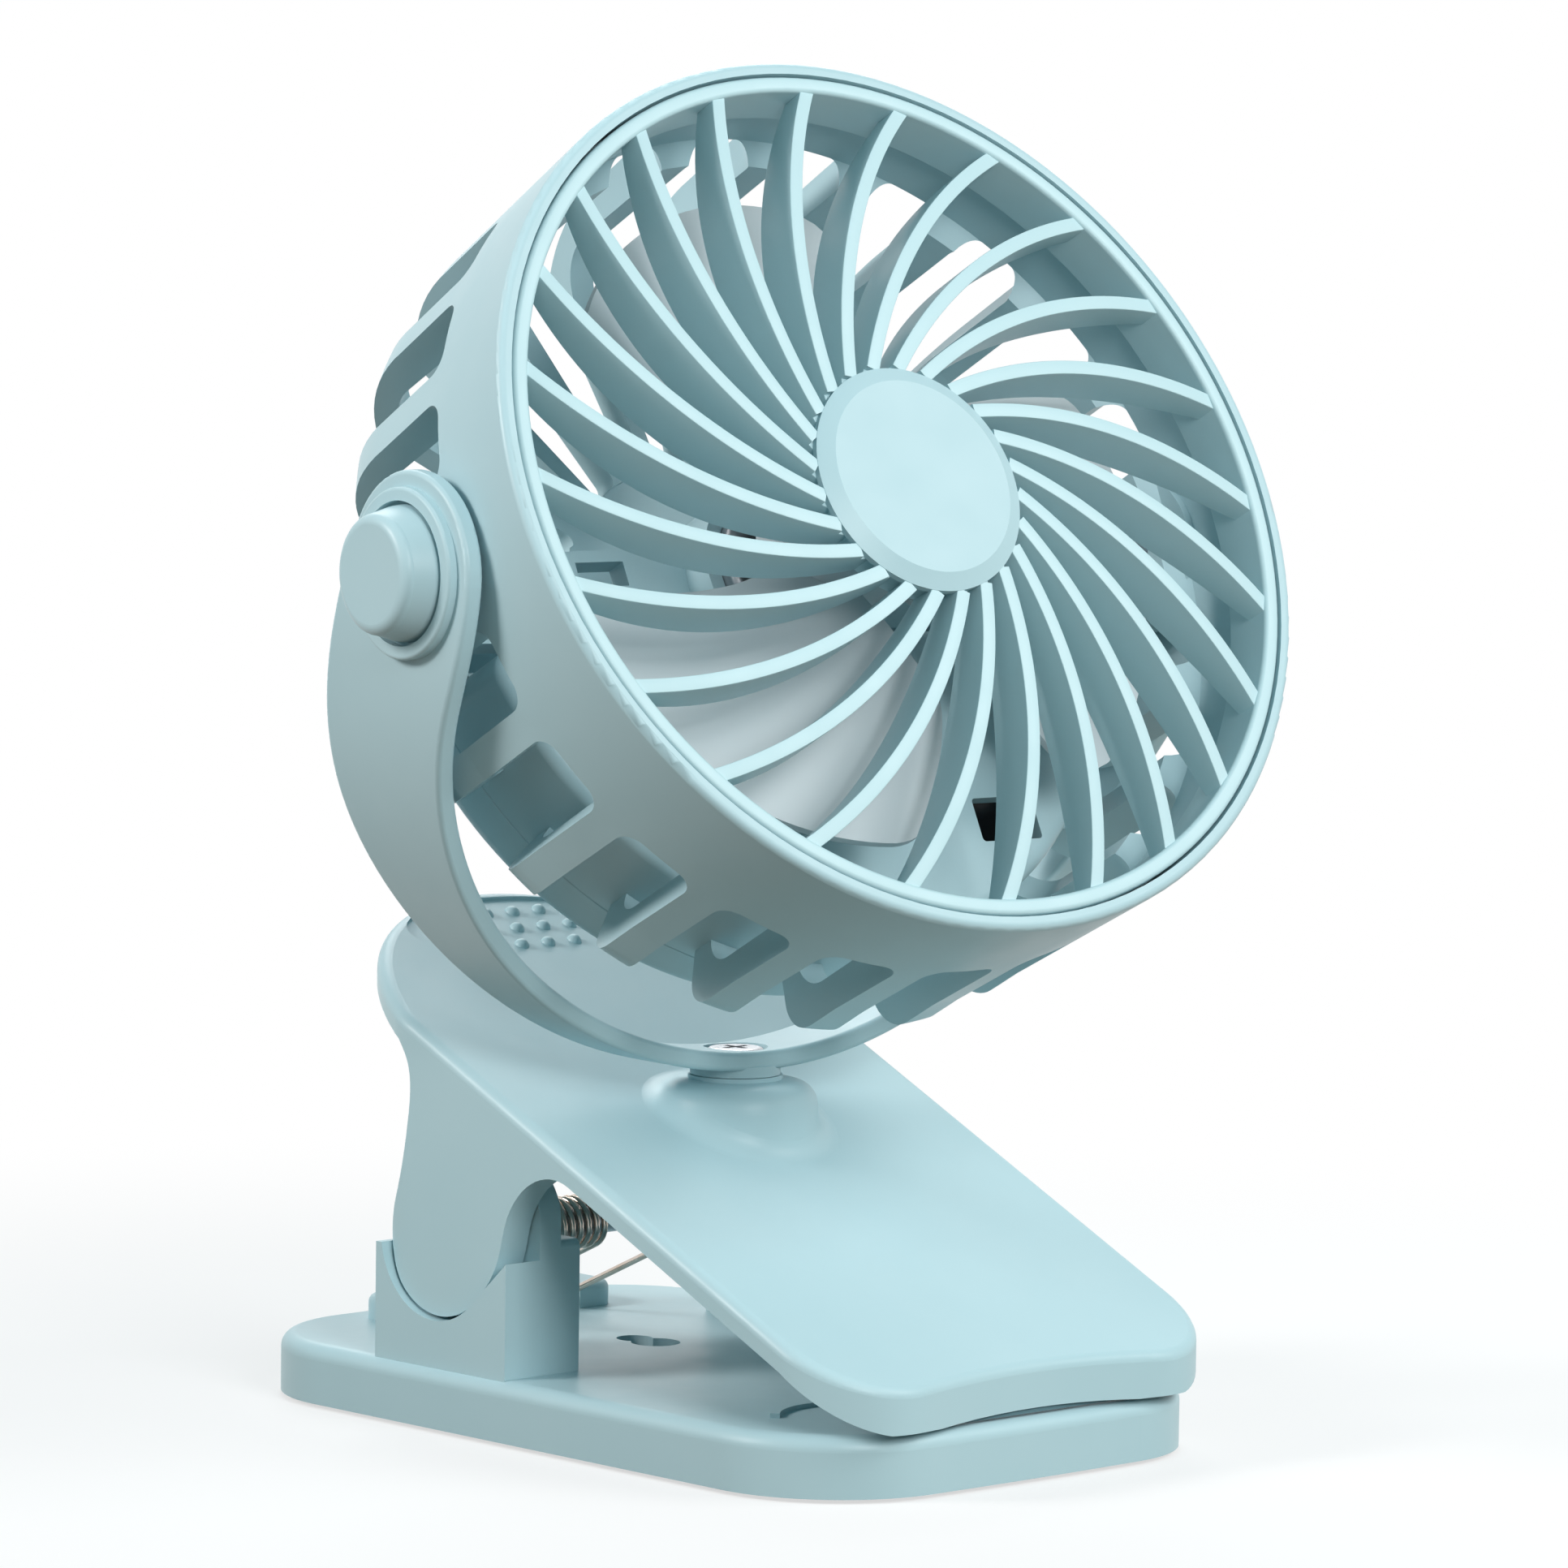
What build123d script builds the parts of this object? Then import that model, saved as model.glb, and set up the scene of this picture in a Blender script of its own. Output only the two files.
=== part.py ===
from build123d import *
import os
from math import acos, asin, atan2, cos, degrees, hypot, pi, radians, sin, sqrt, tan

# A clip fan: a sprung clip carries a swivelling yoke, and the yoke carries a tilting fan head.
# Millimetres. +Z is up, the front of the clip faces -Y, +X is to the right seen from the front.
# The origin is on the surface that the base stands on, under the middle of the base.

# ---------------------------------------------------------------- driving dimensions
# Fits
RUNNING_FIT = 0.08        # radial clearance of a pin that turns in its hole
PANEL_GAP = 0.2           # gap all round a part that drops into another
SOFT_GAP = 0.3            # air between two faces that move past each other

# Base plate: the lower jaw of the clip and the foot of the fan
BASE_WIDTH = 78.4
BASE_LENGTH = 124.6
BASE_TOP = 9.0            # height of its upper face
BASE_CORNER = 20.0
BASE_EDGE = 2.2           # rounding of its upper edge
BASE_BOW = 1.2            # how far the middle of the front edge bulges
BASE_WALL = 2.4
FOOT_LIFT = 0.6           # how far the rubber feet stand out below the base
FOOT_RADIUS = 6.0
FOOT_SINK = 1.0           # how deep a foot sits in the bottom cover
FOOT_X = 24.0
FOOT_Y = 46.0
COVER_THICKNESS = 1.8
COVER_SCREW_X = 31.0
COVER_SCREW_Y = 30.0
COVER_SCREW_RADIUS = 1.25
COVER_SCREW_HEAD = 2.3
KEYHOLE_Y = 14.2          # centre of the round end of the hanging hole
KEYHOLE_RADIUS = 3.5
KEYHOLE_SLOT_RADIUS = 2.6
KEYHOLE_SLOT_TRAVEL = 4.4
KEYHOLE_WALL = 2.0
SCREW_BOSS_RADIUS = 3.4   # round the pilot holes of the cover screws
SCREW_SLOT = 0.5          # width of the cross in a small screw
RIDGE_RADIUS = 12.0       # curved grip ridges on the lower jaw
RIDGE_SIZE = 1.3
RIDGE_PITCH = 20.5
RIDGE_Y = -49.9
RIDGE_SPAN = 92.0         # degrees of arc of one ridge
SEAT_WIDTH = 38.0         # raised block that holds the foot of the spring
SEAT_FRONT = 43.0
SEAT_BACK = 57.0
SEAT_HEIGHT = 3.6
SEAT_CORNER = 4.0
SEAT_EDGE = 1.2
SEAT_POCKET = 22.6        # width of the pocket for the cross bar of the spring

# Towers that carry the hinge pin
HINGE_Y = 18.0
HINGE_Z = 26.8
TOWER_OUTER = 38.0        # half width over both towers
TOWER_INNER = 24.5
TOWER_STEP = 31.8         # where the low outer part meets the high post
POST_STEP = 28.0          # where the high post meets the low saddle on its inner side
TOWER_FRONT = 3.0
TOWER_BACK = 30.4
TOWER_TOP = 25.0
POST_TOP = 38.0
POST_ROUND = 8.0
SADDLE_TOP = 27.4
SADDLE_ROUND = 1.2
PIN_RADIUS = 2.0
PIN_END = 35.0            # half length of the hinge pin

# Lever: the upper jaw
LEVER_HALF_WIDTH = 36.9
LEVER_Z = 44.58           # height of its upper face over the middle of the base
LEVER_SLOPE = 25.0        # degrees
LEVER_THICKNESS = 3.9     # measured upright
LEVER_FRONT = -65.8       # where the front edge would meet the sides if they had no corner rounding
LEVER_FRONT_DIP = 4.3     # how far the middle of the front edge is drawn in
LEVER_FRONT_CORNER = 13.0
LEVER_BACK = 54.6
LEVER_BACK_START = 27.0   # where the round back end begins
LEVER_BACK_CORNER = 10.0
LEVER_EDGE = 1.7
CHEEK_RADIUS = 10.9
CHEEK_GAP = 0.5           # round the end of the cheek in its notch
CHEEK_LEAVE = 23.0        # degrees, where the back of the cheek leaves its round foot
CHEEK_BACK = 30.5         # where the back of the cheek meets the underside of the lever
CHEEK_FRONT = -8.4        # where its front does
JAW_GAP = 0.3             # between the closed jaws
NOSE_BACK = -50.5         # the front of the lever is thickened from here
NOSE_FRONT = -62.6        # to here, where it is level
BOSS_TOP = 48.2           # level top of the mound that carries the yoke
BOSS_RADIUS = 6.9         # of the level top
BOSS_SHOULDER = 11.6      # radius below the rounded shoulder
BOSS_SHOULDER_DROP = 3.8
BOSS_FLANK = 12.4
BOSS_BASE = 33.0
BOSS_BLEND = 4.0          # hollow round the foot of the mound
MOUND_FRONT = -20.0       # how far the mound may reach over the lever
MOUND_BACK = 16.0
DOT_RADIUS = 1.15
DOT_SINK = 0.3            # how far the middle of a round dot lies below the sunk face
DOT_PITCH = 5.0
DOT_AREA_LENGTH = 8.0     # half sizes of the oval grip area
DOT_AREA_WIDTH = 20.0
DOT_AREA_Y = 44.6
DOT_AREA_DEPTH = 0.5

PAD_HALF_WIDTH = 27.0     # soft strip under the nose
PAD_THICKNESS = 1.2

# Spring
WIRE = 1.0
COIL_RADIUS = 3.4         # to the middle of the wire
COIL_PITCH = 1.5
COIL_TURNS = 5            # whole turns of each coil, besides the part turn between the legs
COIL_INNER_END = 9.3
SPRING_FOOT_Y = 47.0      # where the cross bar lies in its seat
SPRING_FOOT_Z = 9.8
SPRING_BEND = 2.0
SPRING_TOP_Y = 33.5       # where the upper legs press on the lever

# Yoke and its swivel. The head, the yoke and the pod follow the radius of the head.
HEAD_RADIUS = 64.0        # at the front
SWIVEL_Y = -1.5
SWIVEL_ANGLE = -5.7       # degrees that the head is turned in the pose shown
TILT_OFFSET = 15.4        # how far the tilt axis lies ahead of the swivel axis
TILT_ANGLE = 27.5         # degrees that the head faces up in the pose shown
YOKE_HALF_WIDTH = HEAD_RADIUS + 2.8
YOKE_THICKNESS = 2.7
YOKE_DROP = 4.5           # straight part of the arms below the tilt axis
STRAP_HALF_WIDTH = 5.85   # of the narrow bottom of the yoke
STRAP_LIFT = 1.0          # of its underside above the washer
EAR_RADIUS = 13.6
COLLAR_RADIUS = 11.4
COLLAR_WALL = 1.8
COLLAR_HEIGHT = 1.4
COLLAR_EDGE = 0.5
YOKE_EDGE = 0.7
EAR_BACK = 35.0           # degrees of arc of the round ear, from the back over the top
EAR_FRONT = 185.0
FOOT_BOSS_RADIUS = 6.3
FOOT_HEIGHT = 1.5
WASHER_THICKNESS = 0.6
TILT_Z = BOSS_TOP + WASHER_THICKNESS + STRAP_LIFT + YOKE_DROP + YOKE_HALF_WIDTH
SWIVEL_SCREW_RADIUS = 2.5
SWIVEL_HEAD_RADIUS = 4.2
SWIVEL_HEAD_HEIGHT = 2.1
SWIVEL_BOSS_RADIUS = 7.5  # under the lever
SWIVEL_BOSS_BOTTOM = 36.0
NUT_RADIUS = 4.4
NUT_HEIGHT = 3.4
NUT_WASHER_RADIUS = 6.2
NUT_WASHER_THICKNESS = 1.0

# Tilt pivots
KNOB_FACE = YOKE_HALF_WIDTH + 6.0  # half width over the knobs
KNOB_RADIUS = 9.1
KNOB_TOP_RADIUS = 7.6
KNOB_ROUND = 1.5
AXLE_RADIUS = 4.0
PIVOT_BOSS_RADIUS = 10.0
PIVOT_BOSS_GAP = 0.5      # between the boss and the arm of the yoke
PIVOT_BOSS_INNER = HEAD_RADIUS - 4.5     # where the bosses start, and the screw heads sit
PIVOT_SCREW_RADIUS = 1.5
PIVOT_SCREW_HEAD = 2.8
PIVOT_SCREW_START = PIVOT_BOSS_INNER - 2.0  # outer face of the screw head, along the pivot
PIVOT_SCREW_END = YOKE_HALF_WIDTH - 0.8
PIVOT_SCREW_ACCESS = 8.0  # depth of the bore that the screw head is reached through
AXLE_END = PIVOT_BOSS_INNER + 1.5

# Fan head. Heights along the head are measured forward from the tilt axis.
HEAD_REAR_RADIUS = HEAD_RADIUS - 1.4
HEAD_FRONT = 23.8
HEAD_REAR = -20.0
HEAD_WALL = 1.85
HEAD_REAR_CORNER = 5.0
DOME_SHOULDER = -9.0      # above the pod the barrel curves in from here to a deeper, domed back
DOME_RADIUS = 25.7
DOME_TURN = 40.0          # degrees of that curve
DOME_CORNER = 5.0
DOME_REAR = DOME_SHOULDER - DOME_RADIUS * sin(radians(DOME_TURN)) - DOME_CORNER * (1 - sin(radians(DOME_TURN)))
DOME_INNER_CORNER = 8.0
HEAD_LIP = 1.0            # rounding of the front lip
RING_INNER = HEAD_RADIUS - 4.5
RING_DEPTH = 8.4
RING_GAP = 0.35           # dark groove between housing and grille
RING_EDGE = 0.6
VENT_PITCH = 15.0         # degrees
VENT_BAR = 4.4            # degrees, width of the bar between two vents
VENT_FRONT = 7.0
VENT_INNER = 24.5
VENT_STEP = -5.0          # the vents of the back are cut to here
VENT_CORNER = 3.0
VENT_INNER_CORNER = 1.6
BAR_DEPTH = 4.9           # radial depth of the bars on the barrel
SPOKE_DEPTH = 4.0         # thickness of the back between the vents
SPOKE_CORNER = 5.0        # inner rounding where the back turns into the barrel
REAR_DISC = 3.0           # thickness of the closed middle of the back
RIB_COUNT = 24
RIB_START = 11.2          # degrees, outer end of the first rib
RIB_THICKNESS = 1.9
RIB_MID_RADIUS = 0.655 * RING_INNER
RIB_MID_TURN = 13.9
RIB_END_RADIUS = 14.8
RIB_END_TURN = 45.5
RIB_RING_DEPTH = 3.2
RIB_MID_DEPTH = 7.0
RIB_DOME = 2.3            # how far the ribs bulge ahead of the ring at the hub
HUB_RADIUS = 16.5
HUB_DISC_REAR = 21.5
HUB_DISC_FRONT = 25.6
HUB_RIM = 26.5
HUB_FACE = 27.6
HUB_BEVEL = 2.4
PEG_X = 8.0               # two pegs hold the cap in the hub
PEG_RADIUS = 1.5
PEG_LENGTH = 2.4

# Pod at the back of the head, with the battery
POD_RADIUS = HEAD_REAR_RADIUS - 9.6
POD_WALL = 2.0
POD_FRONT = -6.0
POD_SPLIT = -21.5
POD_REAR = -29.6
POD_TOP = -8.0
POD_CORNER = 4.0
POD_EDGE = 2.5
TRAY_EDGE = 2.0           # rounding of the front edge of the tray
SEAM = 0.3                # small bevel where tray and cover meet
WINDOW_WIDTH = 10.5
WINDOW_HEIGHT = 6.4
WINDOW_X = 25.8
WINDOW_Y = 16.0 - POD_RADIUS
CELL_RADIUS = 9.1
CELL_LENGTH = POD_RADIUS + 11.0
CELL_Y = 24.5 - POD_RADIUS
CELL_DEPTH = -17.6
CELL_NUB_RADIUS = 2.8
CELL_NUB = 0.9
CELL_SADDLE_X = 19.0      # two walls that the cell lies in
CELL_SADDLE = 2.0
CONTACT_THICKNESS = 0.4
CONTACT_SIZE = 11.0
BOARD_WIDTH = 32.0
BOARD_HEIGHT = 8.0
BOARD_THICKNESS = 1.6
BOARD_Y = 10.5 - POD_RADIUS
BOARD_REAR = -23.2
BUTTON_RADIUS = 4.0
BUTTON_PROUD = 0.9
BUTTON_TRAVEL = 0.5
BUTTON_FLANGE = 0.8
BUTTON_FLANGE_STEP = 0.8
SWITCH_SIZE = 6.0
SWITCH_HEIGHT = 2.2
SWITCH_PLUNGER = 1.3
PORT_X = 10.6
PORT_WIDTH = 8.9
PORT_HEIGHT = 3.3
PORT_WALL = 0.35
LIGHT_X = -9.0
LIGHT_RADIUS = 1.2
POST_RADIUS = 2.6
POD_SCREW_RADIUS = 1.1
POD_SCREW_HEAD = 2.0
POD_SCREW_SINK = 1.6
POD_SCREW_END = -12.0
POD_POSTS = ((POD_RADIUS - 10.5, -20.0), (POD_RADIUS - 4.9, -64.8))  # radius and angle

# Motor and impeller
MOTOR_RADIUS = 12.0
MOTOR_REAR = -16.9
MOTOR_FRONT = -2.0
MOTOR_NOSE_RADIUS = 4.0
MOTOR_NOSE = 1.6
CUP_WALL = 2.2
CUP_FRONT = -4.5
ARM_HEIGHT = 13.0         # the bridge that joins the motor cup to the pivots
ARM_REAR = -13.0
ARM_FRONT = -9.5
ARM_SLOT_X = 28.0         # slot for the wires
ARM_SLOT_Y = 3.0
ARM_SLOT_LENGTH = 8.0
ARM_SLOT_HEIGHT = 3.6
SHAFT_RADIUS = 1.0
SHAFT_FRONT = 13.0
BLADE_COUNT = 3
BLADE_START = 112.0       # degrees, middle of the first blade
BLADE_TIP = RING_INNER - 10.0
BLADE_SWEEP = 2.6         # how much nearer the leading corner is to the shaft than the tip
BLADE_THICKNESS = 1.3
BLADE_MIDDLE = 9.2        # height of the middle of a blade
BLADE_LEAD = 5.0          # how far a blade moves forward per radian
BLADE_BACK = -50.0        # degrees covered by the twisted slab
BLADE_AHEAD = 70.0
BLADE_SECTIONS = 9
BLADE_CORNER = 6.0        # rounding of the trailing corner
BLADE_LEAD_CORNER = 2.5
IMPELLER_HUB_RADIUS = 10.0
IMPELLER_REAR = 1.5
IMPELLER_FRONT = 16.5

# ---------------------------------------------------------------- planes and helpers
os.makedirs("parts", exist_ok=True)


def polar(radius, angle):
    return (radius * cos(radians(angle)), radius * sin(radians(angle)))


def lever_top(y):
    return LEVER_Z + y * tan(radians(LEVER_SLOPE))


def lever_under(y):
    return lever_top(y) - LEVER_THICKNESS


# The swivel turns everything above the clip, and the tilt then turns the head.
turn = radians(SWIVEL_ANGLE)
side_dir = Vector(cos(turn), sin(turn), 0)
front_dir = Vector(sin(turn), -cos(turn), 0)
tilt_centre = Vector(0, SWIVEL_Y, TILT_Z) + front_dir * TILT_OFFSET
lean = radians(TILT_ANGLE)
head_dir = front_dir * cos(lean) + Vector(0, 0, 1) * sin(lean)

# head: x to the right, y up, z forward.  head_section: x is a radius, y is the height forward.
head = Plane(origin=tilt_centre, x_dir=side_dir, z_dir=head_dir)
head_section = Plane(origin=tilt_centre, x_dir=side_dir, z_dir=-head.y_dir)
head_axis = Axis(tilt_centre, head_dir)
pivot_plane = Plane(origin=tilt_centre, x_dir=head.y_dir, z_dir=side_dir)
yoke_front = Plane(origin=tilt_centre, x_dir=side_dir, z_dir=front_dir)
yoke_side = Plane(origin=tilt_centre, x_dir=-front_dir, z_dir=side_dir)
swivel = Plane(origin=(0, SWIVEL_Y, 0), x_dir=side_dir, z_dir=(0, 0, 1))
swivel_section = Plane(origin=(0, SWIVEL_Y, 0), x_dir=(1, 0, 0), z_dir=(0, -1, 0))
swivel_axis = Axis((0, SWIVEL_Y, 0), (0, 0, 1))
clip_side = Plane(origin=(0, 0, 0), x_dir=(0, 1, 0), z_dir=(1, 0, 0))

# ---------------------------------------------------------------- base plate
with BuildSketch(Plane.XY.offset(FOOT_LIFT)) as base_outline:
    with BuildLine():
        half_w = BASE_WIDTH / 2
        half_l = BASE_LENGTH / 2
        front = -half_l + BASE_BOW
        Polyline((-half_w, front), (-half_w, half_l), (half_w, half_l), (half_w, front))
        ThreePointArc((-half_w, front), (0, -half_l), (half_w, front))
    make_face()
    fillet(base_outline.vertices(), BASE_CORNER)

with BuildSketch(Plane.XY.offset(FOOT_LIFT)) as keyhole:
    with Locations((0, KEYHOLE_Y)):
        Circle(KEYHOLE_RADIUS)
    with Locations((0, KEYHOLE_Y + KEYHOLE_SLOT_TRAVEL)):
        Circle(KEYHOLE_SLOT_RADIUS)

base_screw_spots = [(sx * COVER_SCREW_X, y) for sx in (-1, 1) for y in (-COVER_SCREW_Y, COVER_SCREW_Y)]
cover_top = FOOT_LIFT + COVER_THICKNESS
notch_radius = CHEEK_RADIUS + CHEEK_GAP

# where a line from the top front corner of a tower touches the notch
reach = hypot(HINGE_Y - TOWER_FRONT, HINGE_Z - TOWER_TOP)
corner_angle = degrees(atan2(TOWER_TOP - HINGE_Z, TOWER_FRONT - HINGE_Y))
touch_angle = corner_angle + degrees(acos(notch_radius / reach))
notch_tangent = (HINGE_Y + notch_radius * cos(radians(touch_angle)),
                 HINGE_Z + notch_radius * sin(radians(touch_angle)))

with BuildPart() as base_plate:
    add(base_outline.sketch)
    extrude(amount=BASE_TOP - FOOT_LIFT)
    fillet(base_plate.faces().sort_by(Axis.Z)[-1].edges(), BASE_EDGE)
    # hollow underside, left open for the bottom cover
    with BuildSketch(Plane.XY.offset(FOOT_LIFT)):
        add(base_outline.sketch)
        offset(amount=-BASE_WALL, mode=Mode.REPLACE)
    extrude(amount=BASE_TOP - FOOT_LIFT - BASE_WALL, mode=Mode.SUBTRACT)
    with BuildSketch(Plane.XY.offset(cover_top)):
        add(keyhole.sketch)
        offset(amount=KEYHOLE_WALL, mode=Mode.REPLACE)
        with Locations(*base_screw_spots):
            Circle(SCREW_BOSS_RADIUS)
    extrude(until=Until.NEXT)
    # the block that holds the foot of the spring, open to the front for its legs
    with BuildSketch(Plane.XY.offset(BASE_TOP)):
        with Locations((0, (SEAT_FRONT + SEAT_BACK) / 2)):
            RectangleRounded(SEAT_WIDTH, SEAT_BACK - SEAT_FRONT, SEAT_CORNER)
    extrude(amount=SEAT_HEIGHT)
    fillet(base_plate.faces().filter_by(Axis.Z).sort_by(Axis.Z)[-1].edges(), SEAT_EDGE)
    with BuildSketch(Plane.XY.offset(BASE_TOP)):
        with Locations((0, SEAT_FRONT - 1)):
            Rectangle(SEAT_POCKET, SPRING_FOOT_Y + WIRE / 2 + SOFT_GAP - SEAT_FRONT + 1,
                      align=(Align.CENTER, Align.MIN))
    extrude(amount=SEAT_HEIGHT, mode=Mode.SUBTRACT)
    # towers: a low outer block, notched for the cheek of the lever, a high post, and a low saddle
    for side in (-1, 1):
        with BuildSketch(clip_side.offset(side * TOWER_STEP)):
            with BuildLine():
                Polyline((TOWER_FRONT, BASE_TOP - 1), (TOWER_FRONT, TOWER_TOP), notch_tangent,
                         (HINGE_Y, HINGE_Z), (HINGE_Y, TOWER_TOP), (TOWER_BACK, TOWER_TOP),
                         (TOWER_BACK, BASE_TOP - 1), close=True)
            make_face()
            with Locations((HINGE_Y, HINGE_Z)):
                Circle(notch_radius, mode=Mode.SUBTRACT)
        extrude(amount=side * (TOWER_OUTER - TOWER_STEP))
        with BuildSketch(clip_side.offset(side * POST_STEP)) as post:
            with Locations(((TOWER_FRONT + TOWER_BACK) / 2, BASE_TOP - 1)):
                Rectangle(TOWER_BACK - TOWER_FRONT, POST_TOP - BASE_TOP + 1,
                          align=(Align.CENTER, Align.MIN))
            fillet(post.vertices().group_by(Axis.Y)[-1], POST_ROUND)
        extrude(amount=side * (TOWER_STEP - POST_STEP))
        with BuildSketch(clip_side.offset(side * TOWER_INNER)) as saddle:
            with Locations(((TOWER_FRONT + TOWER_BACK) / 2, BASE_TOP - 1)):
                Rectangle(TOWER_BACK - TOWER_FRONT, SADDLE_TOP - BASE_TOP + 1,
                          align=(Align.CENTER, Align.MIN))
            fillet(saddle.vertices().group_by(Axis.Y)[-1], SADDLE_ROUND)
        extrude(amount=side * (POST_STEP - TOWER_INNER))
    with Locations(Plane(origin=(0, HINGE_Y, HINGE_Z), z_dir=(1, 0, 0))):
        Cylinder(PIN_RADIUS, 2 * TOWER_OUTER, mode=Mode.SUBTRACT)
    # curved grip ridges on the jaw
    for k in (-1, 0, 1):
        with BuildSketch(Plane.XY.offset(BASE_TOP - RIDGE_SIZE / 2)):
            with BuildLine():
                CenterArc((k * RIDGE_PITCH, RIDGE_Y), RIDGE_RADIUS, 90 - RIDGE_SPAN / 2, RIDGE_SPAN)
            trace(line_width=RIDGE_SIZE)
        extrude(amount=RIDGE_SIZE)
    # hanging hole, and pilot holes of the cover screws
    with BuildSketch(Plane.XY):
        add(keyhole.sketch.moved(Location((0, 0, -FOOT_LIFT))))
    extrude(amount=BASE_TOP + 1, mode=Mode.SUBTRACT)
    with Locations(*[(x, y, cover_top) for x, y in base_screw_spots]):
        Cylinder(COVER_SCREW_RADIUS, 2 * (BASE_TOP - BASE_WALL - cover_top), mode=Mode.SUBTRACT)
base_plate.part.label = "base_plate"
export_step(base_plate.part, "parts/base_plate.step")

# ---------------------------------------------------------------- bottom cover, its screws and feet
with BuildPart() as base_cover:
    with BuildSketch(Plane.XY.offset(FOOT_LIFT)):
        add(base_outline.sketch)
        offset(amount=-BASE_WALL - PANEL_GAP, mode=Mode.REPLACE)
        add(keyhole.sketch, mode=Mode.SUBTRACT)
        with Locations(*base_screw_spots):
            Circle(COVER_SCREW_RADIUS + PANEL_GAP, mode=Mode.SUBTRACT)
    extrude(amount=COVER_THICKNESS)
    with BuildSketch(Plane.XY.offset(FOOT_LIFT)):
        with Locations(*base_screw_spots):
            Circle(COVER_SCREW_HEAD + PANEL_GAP)
        with GridLocations(2 * FOOT_X, 2 * FOOT_Y, 2, 2):
            Circle(FOOT_RADIUS)
    extrude(amount=FOOT_SINK, mode=Mode.SUBTRACT)
base_cover.part.label = "base_cover"
export_step(base_cover.part, "parts/base_cover.step")

with BuildPart() as base_screws:
    with BuildSketch(Plane.XY.offset(FOOT_LIFT + PANEL_GAP)):
        with Locations(*base_screw_spots):
            Circle(COVER_SCREW_HEAD)
    extrude(amount=FOOT_SINK - PANEL_GAP)
    with BuildSketch(Plane.XY.offset(FOOT_LIFT + FOOT_SINK)):
        with Locations(*base_screw_spots):
            Circle(COVER_SCREW_RADIUS)
    extrude(amount=BASE_TOP - BASE_WALL - FOOT_LIFT - FOOT_SINK)
    with BuildSketch(Plane.XY.offset(FOOT_LIFT + PANEL_GAP)):
        with Locations(*base_screw_spots):
            Rectangle(COVER_SCREW_HEAD, SCREW_SLOT)
            Rectangle(SCREW_SLOT, COVER_SCREW_HEAD)
    extrude(amount=0.5, mode=Mode.SUBTRACT)
base_screws.part.label = "base_screws"
export_step(base_screws.part, "parts/base_screws.step")

with BuildPart() as foot_pads:
    with BuildSketch(Plane.XY):
        with GridLocations(2 * FOOT_X, 2 * FOOT_Y, 2, 2):
            Circle(FOOT_RADIUS)
    extrude(amount=FOOT_LIFT + FOOT_SINK)
    chamfer(foot_pads.faces().filter_by(Axis.Z).group_by(Axis.Z)[0].edges(), 0.3)
foot_pads.part.label = "foot_pads"
export_step(foot_pads.part, "parts/foot_pads.step")

# ---------------------------------------------------------------- hinge pin
with BuildPart() as hinge_pin:
    with Locations(Plane(origin=(0, HINGE_Y, HINGE_Z), z_dir=(1, 0, 0))):
        Cylinder(PIN_RADIUS, 2 * PIN_END)
    chamfer(hinge_pin.edges(), 0.3)
hinge_pin.part.label = "hinge_pin"
export_step(hinge_pin.part, "parts/hinge_pin.step")

# ---------------------------------------------------------------- lever
slope_plane = Plane(origin=(0, 0, LEVER_Z), x_dir=(1, 0, 0),
                    z_dir=(0, -sin(radians(LEVER_SLOPE)), cos(radians(LEVER_SLOPE))))
cheek_inner = TOWER_STEP + SOFT_GAP
jaw_bottom = BASE_TOP + JAW_GAP


def nose_under(y):
    rise = (lever_under(NOSE_BACK) - jaw_bottom) / (NOSE_BACK - NOSE_FRONT)
    return jaw_bottom + rise * (y - NOSE_FRONT)


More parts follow.
